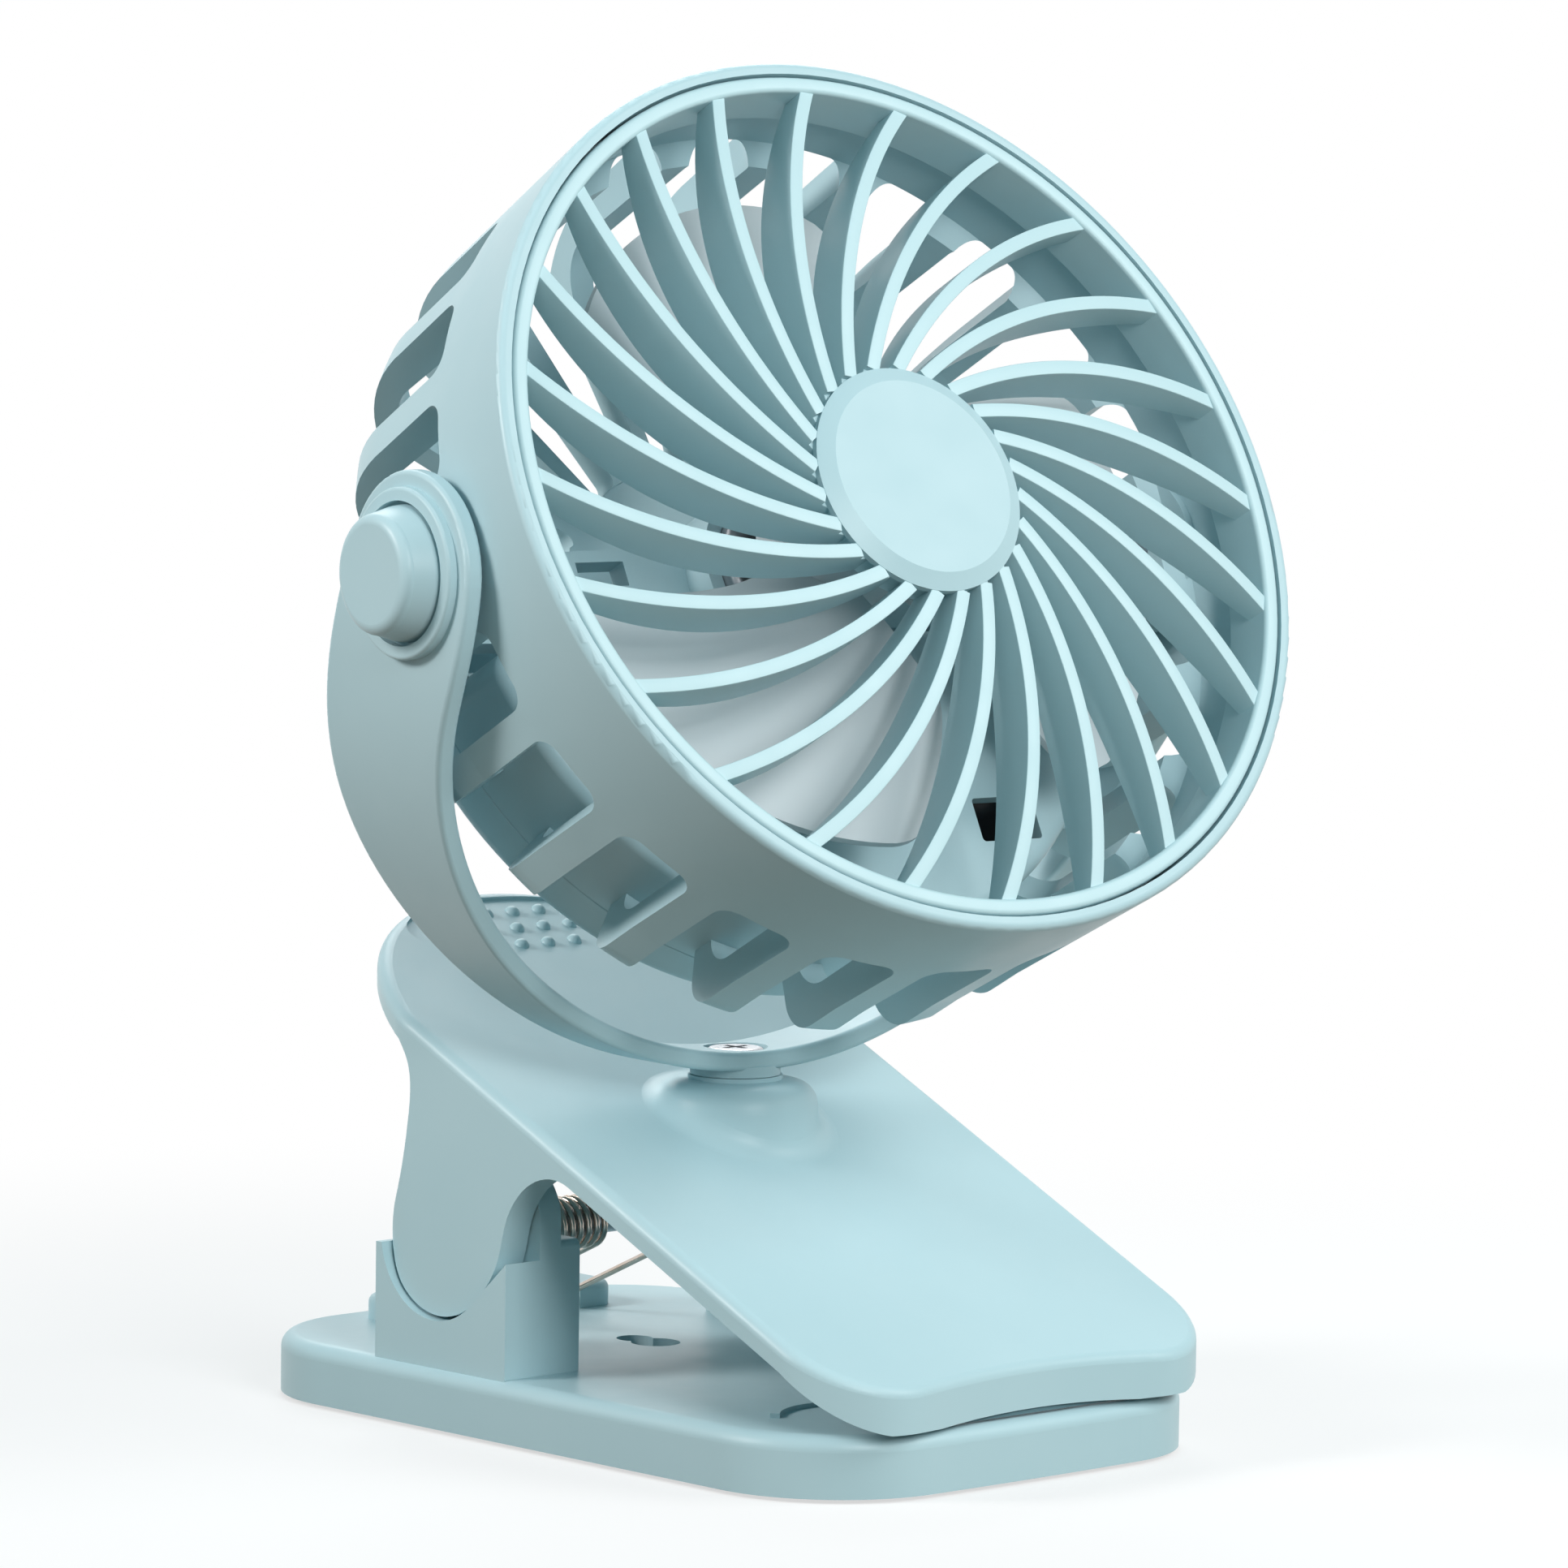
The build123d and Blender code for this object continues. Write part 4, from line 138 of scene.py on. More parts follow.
def seen_directly(tree):
    # 1 for the rays that see the ground itself, 0 for the rays that gather its light
    path = tree.nodes.new("ShaderNodeLightPath")
    seen = path.outputs["Is Camera Ray"]
    for label in ("Is Glossy Ray", "Is Transmission Ray"):
        seen = add_node(tree, "ShaderNodeMath", {0: seen, 1: path.outputs[label]},
                        operation="MAXIMUM").outputs[0]
    return seen


def mixed(tree, factor, first, second):
    # the first colour where the factor is 0, the second where it is 1
    return add_node(tree, "ShaderNodeMix", {"Factor": factor, "A": first, "B": second},
                    data_type="RGBA").outputs["Result"]


sky_colour = mixed(sky, seen_directly(sky), (*SKY_LIGHT, 1), (*WHITE, 1))
sky_light = add_node(sky, "ShaderNodeBackground", {"Color": sky_colour})
add_node(sky, "ShaderNodeOutputWorld", {"Surface": sky_light.outputs[0]})

# %% [markdown]
# Four square soft lamps stand round the fan. The key lamp at the right and the front lamp light the
# faces that look at the camera. A small narrow one behind the left edge picks out the back of the
# head, and one behind the fan lights its top. A lamp with a narrow spread sends all of its power
# into that narrow beam, so it needs far fewer watts.

# %% Lamps
MIDDLE = (0, 0, 90 * MM)
HEAD_MIDDLE = (0, 0, 130 * MM)
WIDE = 180
NARROW = 35
NEUTRAL = (1, 1, 1)
WARM = (1, 0.985, 0.965)
ROSY = (1, 0.93, 0.91)
LAMPS = (  # name, place, aim, side of the square, watts, tint, spread in degrees
    ("key", (0.65, -0.95, 0.95), MIDDLE, 0.6, 9.0, WARM, WIDE),
    ("front", (-0.30, -1.15, 0.62), MIDDLE, 0.5, 10.0, NEUTRAL, WIDE),
    ("side", (-0.75, 0.38, 0.55), HEAD_MIDDLE, 0.3, 0.36, ROSY, NARROW),
    ("behind", (0.5, 0.7, 0.8), MIDDLE, 0.6, 4.0, NEUTRAL, WIDE),
)
for name, place, aim, size, power, tint, spread in LAMPS:
    lamp_data = bpy.data.lights.new(name, "AREA")
    lamp_data.shape = "SQUARE"
    lamp_data.size = size
    lamp_data.energy = power
    lamp_data.color = tint
    lamp_data.spread = radians(spread)
    lamp = bpy.data.objects.new(name, lamp_data)
    lamp.location = place
    lamp.rotation_euler = (Vector(aim) - Vector(place)).to_track_quat("-Z", "Y").to_euler()
    scene.collection.objects.link(lamp)

# %% [markdown]
# The floor is a white sheet. Near the fan part of it is lit paper that takes the shadow, and
# further out it is the plain white of the ground, so no edge shows. To the rays that gather light
# it is a dark warm brown, which gives the undersides of the fan the tint that they have in the
# photograph.

# %% Floor
FLOOR_HALF = 3.0
FLOOR_NEAR = 0.08
FLOOR_FAR = 0.30
FLOOR_LIT_SHARE = 0.35
FLOOR_BROWN = (0.20, 0.155, 0.12)
FLOOR_PAPER = (0.9, 0.9, 0.9)

floor_mesh = bpy.data.meshes.new("floor")
floor_mesh.from_pydata([(x * FLOOR_HALF, y * FLOOR_HALF, 0)
                        for x, y in ((-1, -1), (1, -1), (1, 1), (-1, 1))], [], [(0, 1, 2, 3)])
floor = bpy.data.objects.new("floor", floor_mesh)
scene.collection.objects.link(floor)
floor_paper = bpy.data.materials.new("floor_paper")
floor_paper.use_nodes = True
floor_mesh.materials.append(floor_paper)
paper = floor_paper.node_tree
paper.nodes.clear()
paper_seen = seen_directly(paper)
paper_colour = mixed(paper, paper_seen, (*FLOOR_BROWN, 1), (*FLOOR_PAPER, 1))
paper_lit = add_node(paper, "ShaderNodeBsdfDiffuse", {"Color": paper_colour})
paper_white = paper.nodes.new("ShaderNodeEmission")
paper_place = paper.nodes.new("ShaderNodeTexCoord").outputs["Object"]
paper_away = add_node(paper, "ShaderNodeVectorMath", {0: paper_place}, operation="LENGTH")
paper_fade = add_node(paper, "ShaderNodeMapRange",
                      {"Value": paper_away.outputs["Value"],
                       "From Min": FLOOR_NEAR, "From Max": FLOOR_FAR,
                       "To Min": 1 - FLOOR_LIT_SHARE}, interpolation_type="SMOOTHSTEP")
paper_share = add_node(paper, "ShaderNodeMath", {0: paper_seen, 1: paper_fade.outputs[0]},
                       operation="MULTIPLY")
paper_mix = add_node(paper, "ShaderNodeMixShader",
                     {"Fac": paper_share.outputs[0],
                      1: paper_lit.outputs[0], 2: paper_white.outputs[0]})
add_node(paper, "ShaderNodeOutputMaterial", {"Surface": paper_mix.outputs[0]})

# %% [markdown]
# All the plastic comes out of polished moulds with a fine spark-eroded skin. One node group makes
# that skin for every plastic: a very fine grain for the bump, a slow unevenness for the gloss, and
# a faint drift of the colour. It reads Object coordinates, so the pattern keeps its real size on
# every piece.

# %% The moulded skin
CLOUD_SCALE = 45.0
CLOUD_SHARE = 0.35
PATCH_SCALE = 160.0
GRAIN_SCALE = 5000.0
GRAIN_DETAIL = 2.0
GRAIN_DEPTH = 0.00005
NOISE_DETAIL = 3.0
NOISE_LOW = 0.3
NOISE_HIGH = 0.7


def paint(code):
    # a colour as written in a paint program, turned into the linear numbers that a shader wants
    parts = [int(code[i:i + 2], 16) / 255 for i in (1, 3, 5)]
    return (*(p / 12.92 if p <= 0.04045 else ((p + 0.055) / 1.055) ** 2.4 for p in parts), 1.0)


def noise(tree, place, scale, detail=NOISE_DETAIL):
    return add_node(tree, "ShaderNodeTexNoise",
                    {"Vector": place, "Scale": scale, "Detail": detail}).outputs["Fac"]


def scaled(tree, value, low, high):
    # nearly all of a noise lies between NOISE_LOW and NOISE_HIGH, and this stretches it to its ends
    return add_node(tree, "ShaderNodeMapRange",
                    {"Value": value, "From Min": NOISE_LOW, "From Max": NOISE_HIGH,
                     "To Min": low, "To Max": high}).outputs[0]


skin, skin_in, skin_out = new_tree(
    "moulded_skin", "ShaderNodeTree",
    [("Colour", "Color"), ("Deep Colour", "Color"), ("Smoothest", "Float"), ("Roughest", "Float")],
    [("Colour", "Color"), ("Roughness", "Float"), ("Height", "Float")])
skin_place = skin.nodes.new("ShaderNodeTexCoord").outputs["Object"]
skin_cloud = scaled(skin, noise(skin, skin_place, CLOUD_SCALE), 0.0, CLOUD_SHARE)
skin_results = {
    "Colour": mixed(skin, skin_cloud, skin_in.outputs["Colour"], skin_in.outputs["Deep Colour"]),
    "Roughness": scaled(skin, noise(skin, skin_place, PATCH_SCALE),
                        skin_in.outputs["Smoothest"], skin_in.outputs["Roughest"]),
    "Height": noise(skin, skin_place, GRAIN_SCALE, GRAIN_DETAIL),
}
for label, result in skin_results.items():
    skin.links.new(result, skin_out.inputs[label])

# %% Plastics
PLASTIC_SHINE = 0.28
PLASTIC_GRAIN = 0.05
RUBBER_GRAIN = 0.25


def plastic(name, colour, deep, smoothest, roughest, grain=PLASTIC_GRAIN):
    material = bpy.data.materials.new(name)
    material.use_nodes = True
    tree = material.node_tree
    shader = tree.nodes["Principled BSDF"]
    shader.inputs["Specular IOR Level"].default_value = PLASTIC_SHINE
    moulded = add_node(tree, "ShaderNodeGroup",
                       {"Colour": paint(colour), "Deep Colour": paint(deep),
                        "Smoothest": smoothest, "Roughest": roughest}, node_tree=skin)
    relief = add_node(tree, "ShaderNodeBump",
                      {"Strength": grain, "Distance": GRAIN_DEPTH,
                       "Height": moulded.outputs["Height"]})
    tree.links.new(moulded.outputs["Colour"], shader.inputs["Base Color"])
    tree.links.new(moulded.outputs["Roughness"], shader.inputs["Roughness"])
    tree.links.new(relief.outputs["Normal"], shader.inputs["Normal"])
    return material


mint = plastic("mint_plastic", "#B5D1D7", "#AACAD1", 0.34, 0.42)
# the grille's copy of the mint plastic is painted paler: a painted highlight for the light that its
# front faces catch
mint_painted_lit = plastic("mint_plastic_painted_lit", "#BEDADF", "#B4D3D9", 0.32, 0.40)
blade_grey = plastic("blade_plastic", "#BCC5C8", "#B4BEC2", 0.38, 0.48)
button_grey = plastic("button_plastic", "#C3CDD0", "#BAC6CA", 0.4, 0.5)
black = plastic("black_plastic", "#101214", "#0C0E10", 0.35, 0.5)
foot_rubber = plastic("foot_rubber", "#5B7A82", "#52707A", 0.65, 0.8, RUBBER_GRAIN)
sleeve = plastic("cell_sleeve", "#16181B", "#121417", 0.2, 0.28)
board_green = plastic("board_green", "#14513A", "#104632", 0.25, 0.35)
milky = plastic("milky_plastic", "#E6EEEE", "#DFE9EA", 0.15, 0.22)

# %% [markdown]
# Metal is told from plastic by how it mirrors. Each metal has its own scale of fine marks: close
# ones on the plated screws and pins, and wide ones on the drawn wire of the spring.


# %% Metals
def metal(name, colour, deep, smoothest, roughest, scale):
    material = bpy.data.materials.new(name)
    material.use_nodes = True
    tree = material.node_tree
    shader = tree.nodes["Principled BSDF"]
    shader.inputs["Metallic"].default_value = 1.0
    marks = noise(tree, tree.nodes.new("ShaderNodeTexCoord").outputs["Object"], scale)
    tree.links.new(mixed(tree, marks, paint(colour), paint(deep)), shader.inputs["Base Color"])
    tree.links.new(scaled(tree, marks, smoothest, roughest), shader.inputs["Roughness"])
    return material


plated = metal("plated_steel", "#C9CCD0", "#AEB2B7", 0.22, 0.38, 900)
wire_steel = metal("spring_wire", "#D8D6D2", "#B9A48F", 0.12, 0.24, 420)
can_steel = metal("motor_can", "#B8BBBF", "#A3A6AA", 0.3, 0.42, 700)
contact = metal("contact_metal", "#D6C79A", "#BFA978", 0.25, 0.35, 600)

# %% [markdown]
# A CAD node keeps its mesh. Its finish goes into the material slots of its mesh, and the sharp
# edges stay sharp because the frame brings its own normals.

# %% Finish of the CAD nodes
finish = {
    mint: ["base_plate", "base_cover", "lever", "yoke", "pivot_knob_left", "pivot_knob_right",
           "head_housing", "hub_cap", "rear_cover", "swivel_washer"],
    # the grille takes the paler copy of the mint plastic, whose extra lightness is painted light
    mint_painted_lit: ["front_grille"],
    blade_grey: ["impeller"],
    button_grey: ["power_button"],
    foot_rubber: ["foot_pads", "lever_pad"],
    plated: ["base_screws", "hinge_pin", "swivel_screw", "swivel_nut_washer", "swivel_nut",
             "pivot_screws", "motor_shaft", "cover_screws", "usb_socket"],
    wire_steel: ["clip_spring"],
    can_steel: ["motor"],
    sleeve: ["battery_cell"],
    contact: ["battery_contacts"],
    board_green: ["circuit_board"],
    black: ["tact_switch"],
    milky: ["status_light"],
}
for material, names in finish.items():
    for name in names:
        mesh = nodes[name].data
        mesh.materials.clear()
        mesh.materials.append(material)
print("finished nodes:", sum(len(names) for names in finish.values()))

# %% [markdown]
# The head hangs in the yoke turned a little to one side and tipped up, so its round pieces are
# drawn in the head's own coordinates: right, up and forward from the middle of the pivots. One
# matrix then sets them in place. Drawing them straight and turning them last keeps every number a
# real measurement.

# %% The head's own coordinates
SWIVEL_TURN = radians(-5.7)
HEAD_TIP = radians(27.5)
SWIVEL_AXIS = Vector((0, -1.5, 121.1))
TILT_OFFSET = 15.4

side_way = Vector((cos(SWIVEL_TURN), sin(SWIVEL_TURN), 0))
front_way = Vector((sin(SWIVEL_TURN), -cos(SWIVEL_TURN), 0))
head_way = front_way * cos(HEAD_TIP) + Vector((0, 0, sin(HEAD_TIP)))
head_up = head_way.cross(side_way)
head_matrix = Matrix((side_way, head_up, head_way)).transposed().to_4x4()
head_matrix.translation = (SWIVEL_AXIS + front_way * TILT_OFFSET) * MM
print("head centre in mm:", [round(c / MM, 2) for c in head_matrix.translation])

# %% [markdown]
# The new shapes start as outlines with rounded corners. An outline becomes a turned ring, a sheet
# or the section of a rib. Only faces that meet at more than 30 degrees keep a sharp edge, so that
# the small rounded corners catch the light.

# %% Helpers for shapes
TURNED_STEPS = 160
WELD = 0.002
SHARP = 30


def polar(radius, degrees_round):
    return Vector((radius * cos(radians(degrees_round)), radius * sin(radians(degrees_round))))


def rounded(corners, steps=4):
    # corners are (x, y, radius); each radius becomes an arc
    points = []
    for i, (x, y, radius) in enumerate(corners):
        here = Vector((x, y))
        before = (Vector(corners[i - 1][:2]) - here).normalized()
        after = (Vector(corners[(i + 1) % len(corners)][:2]) - here).normalized()
        if not radius:
            points.append(here)
            continue
        half = before.angle(after) / 2
        middle = here + (before + after).normalized() * radius / sin(half)
        first = here + before * radius / tan(half) - middle
        last = here + after * radius / tan(half) - middle
        for k in range(steps + 1):
            points.append(middle + (first * (steps - k) + last * k).normalized() * radius)
    return points


def circle_through(a, b, c):
    # middle and radius of the circle through three points
    d = 2 * (a.x * (b.y - c.y) + b.x * (c.y - a.y) + c.x * (a.y - b.y))
    sa, sb, sc = a.length_squared, b.length_squared, c.length_squared
    middle = Vector(((sa * (b.y - c.y) + sb * (c.y - a.y) + sc * (a.y - b.y)) / d,
                     (sa * (c.x - b.x) + sb * (a.x - c.x) + sc * (b.x - a.x)) / d))
    return middle, (a - middle).length


def turned(shape, profile, steps=TURNED_STEPS):
    # a ring or knob from a closed profile of (radius, height), as it would come off a lathe
    ring = [shape.verts.new((r, 0, h)) for r, h in profile]
    edges = [shape.edges.new(pair) for pair in zip(ring, ring[1:] + ring[:1])]
    bmesh.ops.spin(shape, geom=ring + edges, axis=(0, 0, 1), cent=(0, 0, 0), angle=2 * pi,
                   steps=steps, use_merge=True)
    bmesh.ops.remove_doubles(shape, verts=shape.verts, dist=WELD)


def new_piece(name, shape, material):
    # a bmesh drawn in millimetres becomes an object in metres
    bmesh.ops.recalc_face_normals(shape, faces=shape.faces)
    mesh = bpy.data.meshes.new(name)
    shape.to_mesh(mesh)
    shape.free()
    mesh.transform(Matrix.Scale(MM, 4))
    mesh.materials.append(material)
    mesh.shade_smooth()
    mesh.set_sharp_from_angle(angle=radians(SHARP))
    piece = bpy.data.objects.new(name, mesh)
    scene.collection.objects.link(piece)
    return piece


def settled(piece):
    # the shape that the modifiers make becomes the piece's own plain mesh
    bpy.context.view_layer.update()
    evaluated = piece.evaluated_get(bpy.context.evaluated_depsgraph_get())
    mesh = bpy.data.meshes.new_from_object(evaluated)
    piece.modifiers.clear()
    piece.data = mesh
    return mesh


def take_in(shape, piece):
    # adds the settled mesh of a piece to a shape in millimetres, and drops the piece
    mesh = settled(piece)
    mesh.transform(Matrix.Scale(1 / MM, 4))
    shape.from_mesh(mesh)
    bpy.data.objects.remove(piece)


# %% [markdown]
# The ribs of the grille and the blades of the impeller are each one shape that repeats round an
# axis, as the tool maker cuts them too. A Geometry Nodes tree sets copies of its input on as many
# points, each turned by its own number. Changing the count is then one number, and the copies can't
# drift apart.


# %% Geometry Nodes: a ring of copies
def end_tree(tree, shape, tree_in, tree_out):
    # every tree ends with real meshes in the material of its input
    real = add_node(tree, "GeometryNodeRealizeInstances", {0: shape.outputs[0]})
    look = add_node(tree, "GeometryNodeSetMaterial",
                    {"Geometry": real.outputs[0], "Material": tree_in.outputs["Material"]})
    tree.links.new(look.outputs[0], tree_out.inputs[0])


def use_tree(piece, tree, **values):
    # a modifier takes its inputs by the identifiers of the tree's sockets
    modifier = piece.modifiers.new(tree.name, "NODES")
    modifier.node_group = tree
    for socket in tree.interface.items_tree:
        if socket.in_out == "INPUT" and socket.name in values:
            modifier[socket.identifier] = values[socket.name]


around, around_in, around_out = new_tree(
    "ring_of_copies", "GeometryNodeTree",
    [("Geometry", "Geometry"), ("Count", "Int"), ("Start", "Float"), ("Material", "Material")],
    [("Geometry", "Geometry")])


def around_math(operation, first, second):
    return add_node(around, "ShaderNodeMath", {0: first, 1: second}, operation=operation).outputs[0]


around_index = around.nodes.new("GeometryNodeInputIndex").outputs[0]
around_step = around_math("DIVIDE", 2 * pi, around_in.outputs["Count"])
around_turn = around_math("MULTIPLY", around_index, around_step)
around_angle = add_node(around, "ShaderNodeCombineXYZ",
                        {"Z": around_math("ADD", around_turn, around_in.outputs["Start"])})
around_points = add_node(around, "GeometryNodePoints", {"Count": around_in.outputs["Count"]})
around_copies = add_node(around, "GeometryNodeInstanceOnPoints",
                         {"Points": around_points.outputs[0],
                          "Instance": around_in.outputs["Geometry"],
                          "Rotation": around_angle.outputs[0]})
end_tree(around, around_copies, around_in, around_out)

# %% [markdown]
# A rib of the grille is a curved blade of plastic, 2 mm thick. It is shallow at the ring, deepest
# half way in, and its front comes forward to the hub. Seen from the front it is an arc of a circle,
# and so are its front and rear edges seen from the side. Three points say each arc, so they are all
# drawn by one helper.

# %% One rib
RIB_COUNT = 24
RIB_START = 11.2
RIB_TURNS = (0.0, 13.9, 45.5)
RIB_RADII = (60.5, 38.97, 14.8)
RIB_HALF = 1.0
RIB_ROUND = 0.12
RIB_ROUND_STEPS = 3
RIB_STEPS = 30
CAP_SEAT_RADIUS = 16.5
CAP_SEAT = 25.55
CAP_SEAT_STEP = 0.05
# points of the edges, each as (radius, height)
RIB_FRONT_EDGE = ((61.0, 23.2), (38.97, 25.64), (12.8, 26.4))
RIB_REAR_EDGE = ((61.0, 20.0), (38.97, 18.0), (12.8, 22.5))

plan_middle, plan_radius = circle_through(
    *[polar(r, RIB_START + t) for r, t in zip(RIB_RADII, RIB_TURNS)])
plan_away = plan_middle.length
plan_turn = atan2(plan_middle.y, plan_middle.x)
rib_front = circle_through(*[Vector(point) for point in RIB_FRONT_EDGE])
rib_rear = circle_through(*[Vector(point) for point in RIB_REAR_EDGE])


def height_on(circle, radius, side):
    # height of a circle over one radius, on its upper (1) or lower (-1) side
    middle, size = circle
    return middle.y + side * sqrt(size ** 2 - (radius - middle.x) ** 2)


def rib_station(radius):
    # where the rib crosses a circle round the hub, and the direction across it there
    swing = acos((radius ** 2 + plan_away ** 2 - plan_radius ** 2) / (2 * radius * plan_away))
    spot = Vector((radius * cos(plan_turn + swing), radius * sin(plan_turn + swing)))
    return spot, (spot - plan_middle).normalized()


rib_reach = CAP_SEAT_RADIUS - RIB_RADII[0]
radii = [RIB_RADII[0] + rib_reach * k / RIB_STEPS for k in range(RIB_STEPS + 1)]
stations = [(radius, height_on(rib_front, radius, 1)) for radius in radii]
stations += [(radius, CAP_SEAT) for radius in (CAP_SEAT_RADIUS - CAP_SEAT_STEP, RIB_RADII[2])]
rib_shape = bmesh.new()
last_section = None
for radius, front in stations:
    spot, across = rib_station(radius)
    rear = height_on(rib_rear, radius, -1)
    corners = [(-RIB_HALF, rear, RIB_ROUND), (RIB_HALF, rear, RIB_ROUND),
               (RIB_HALF, front, RIB_ROUND), (-RIB_HALF, front, RIB_ROUND)]
    section = []
    for x, y in rounded(corners, RIB_ROUND_STEPS):
        flat = spot + across * x
        section.append(rib_shape.verts.new((flat.x, flat.y, y)))
    if last_section:
        for k in range(len(section)):
            rib_shape.faces.new((last_section[k - 1], last_section[k], section[k], section[k - 1]))
    else:
        rib_shape.faces.new(section)
    last_section = section
rib_shape.faces.new(last_section[::-1])
rib = new_piece("rib", rib_shape, mint_painted_lit)
print("faces of one rib:", len(rib.data.polygons))

# %% [markdown]
# The ring round the ribs and the disc behind the cap are turned. They join the ribs in one mesh,
# because the real grille is one moulding that snaps into the housing.

# %% The whole grille
RING_INNER = 59.5
RING_OUTER = 61.8
RING_REAR = 15.5
RING_FRONT = 23.8
RING_REAR_ROUND = 0.2
RING_FRONT_ROUND = 0.6
DISC_RADIUS = 15.8
DISC_REAR = 21.5
DISC_FRONT = 25.6
DISC_ROUND = 0.5

use_tree(rib, around, Count=RIB_COUNT, Material=mint_painted_lit)
grille_shape = bmesh.new()
turned(grille_shape, rounded([(RING_INNER, RING_REAR, RING_REAR_ROUND),
                              (RING_OUTER, RING_REAR, RING_REAR_ROUND),
                              (RING_OUTER, RING_FRONT, RING_FRONT_ROUND),
                              (RING_INNER, RING_FRONT, RING_FRONT_ROUND)]))
turned(grille_shape, rounded([(0.0, DISC_REAR, 0), (DISC_RADIUS, DISC_REAR, DISC_ROUND),
                              (DISC_RADIUS, DISC_FRONT, 0), (0.0, DISC_FRONT, 0)]))
take_in(grille_shape, rib)
grille = new_piece("grille", grille_shape, mint_painted_lit)
grille.data.transform(head_matrix)
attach(grille, "head")
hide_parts("front_grille")
print("grille faces:", len(grille.data.polygons))

# %% [markdown]
# The impeller has three broad blades, each a thin sheet on a screw surface: it moves forward evenly
# as it goes round. So a flat outline is cut by lines through the axis, and every point is then
# raised by its angle. Solidify gives the sheet its thickness and Bevel the soft edge that shows as
# a bright line.

# %% One blade
BLADE_COUNT = 3
BLADE_START = 112.0
BLADE_TIP = 49.5
BLADE_ROOT = 9.4
BLADE_MIDDLE = 9.2
BLADE_LEAD = 5.0
BLADE_THICKNESS = 1.3
BLADE_ROUND = 0.3
BLADE_ROUND_STEPS = 3
BLADE_ROUND_ANGLE = 50
BLADE_CUTS = range(-44, 45, 4)
TIP_DROP = 2.6
TIP_STEPS = 30
CORNER_PULL = 0.6
BACK_CORNER_REACH = 7.0
FRONT_CORNER_REACH = 3.0
# points of the outline, each as (radius, degrees from the middle line of the blade)
TIP_BACK = (BLADE_TIP, -43.5)
TIP_MIDDLE = (BLADE_TIP, -2)
TIP_FRONT = (BLADE_TIP - TIP_DROP, 31.5)
TRAILING_EDGE = ((BLADE_ROOT, -39), (22.5, -35.3), TIP_BACK)
LEADING_EDGE = (TIP_FRONT, (0.75 * BLADE_TIP, 38), (27.5, 45), (19.8, 40.8), (BLADE_ROOT, 16))


def through(points, steps=10):
    # a smooth line through points; at each point the two handles lie along the line between its
    # neighbours, and are a sixth of it long, or a third of the only segment at an end
    line = []
    for i in range(len(points) - 1):
        a, b = points[i], points[i + 1]
        slope_a = (b - points[max(i - 1, 0)]) / (6 if i else 3)
        slope_b = (points[min(i + 2, len(points) - 1)] - a) / (6 if i + 2 < len(points) else 3)
        line += interpolate_bezier(a, a + slope_a, b - slope_b, b, steps + 1)[:-1]
    return line + [points[-1]]


def soften(first, second, corner, reach, steps=6):
    # joins two lines that meet in a corner with a rounded piece in its place
    first = [p for p in first if (p - corner).length > reach]
    second = [p for p in second if (p - corner).length > reach]
    a, b = first[-1], second[0]
    handle_a, handle_b = a.lerp(corner, CORNER_PULL), b.lerp(corner, CORNER_PULL)
    return first + interpolate_bezier(a, handle_a, handle_b, b, steps + 1)[1:-1] + second


tip_back, tip_front = polar(*TIP_BACK), polar(*TIP_FRONT)
tip_middle, tip_radius = circle_through(tip_back, polar(*TIP_MIDDLE), tip_front)
tip_from = atan2(tip_back.y - tip_middle.y, tip_back.x - tip_middle.x)
tip_to = atan2(tip_front.y - tip_middle.y, tip_front.x - tip_middle.x)
tip_angles = [tip_from + (tip_to - tip_from) * k / TIP_STEPS for k in range(TIP_STEPS + 1)]
tip = [tip_middle + Vector((cos(angle), sin(angle))) * tip_radius for angle in tip_angles]
trailing = through([polar(*point) for point in TRAILING_EDGE])
leading = through([polar(*point) for point in LEADING_EDGE])
blade_outline = soften(trailing, tip, tip_back, BACK_CORNER_REACH)
blade_outline = soften(blade_outline, leading, tip_front, FRONT_CORNER_REACH)
blade_shape = bmesh.new()
blade_shape.faces.new([blade_shape.verts.new((p.x, p.y, 0)) for p in blade_outline])
for cut_turn in BLADE_CUTS:
    cut = polar(1, cut_turn + 90)
    cut_geometry = blade_shape.verts[:] + blade_shape.edges[:] + blade_shape.faces[:]
    bmesh.ops.bisect_plane(blade_shape, geom=cut_geometry, plane_co=(0, 0, 0),
                           plane_no=(cut.x, cut.y, 0))
for vert in blade_shape.verts:
    vert.co.z = BLADE_MIDDLE + BLADE_LEAD * atan2(vert.co.y, vert.co.x)
blade = new_piece("blade", blade_shape, blade_grey)
sheet = blade.modifiers.new("sheet", "SOLIDIFY")
sheet.thickness = BLADE_THICKNESS * MM
sheet.offset = 0
edge = blade.modifiers.new("edge", "BEVEL")
edge.width = BLADE_ROUND * MM
edge.segments = BLADE_ROUND_STEPS
edge.limit_method = "ANGLE"
edge.angle_limit = radians(BLADE_ROUND_ANGLE)

# %% [markdown]
# The hub of the impeller is a turned cup. A boss in its middle sits on the motor shaft, and the
# hollow round the boss makes room for the motor.

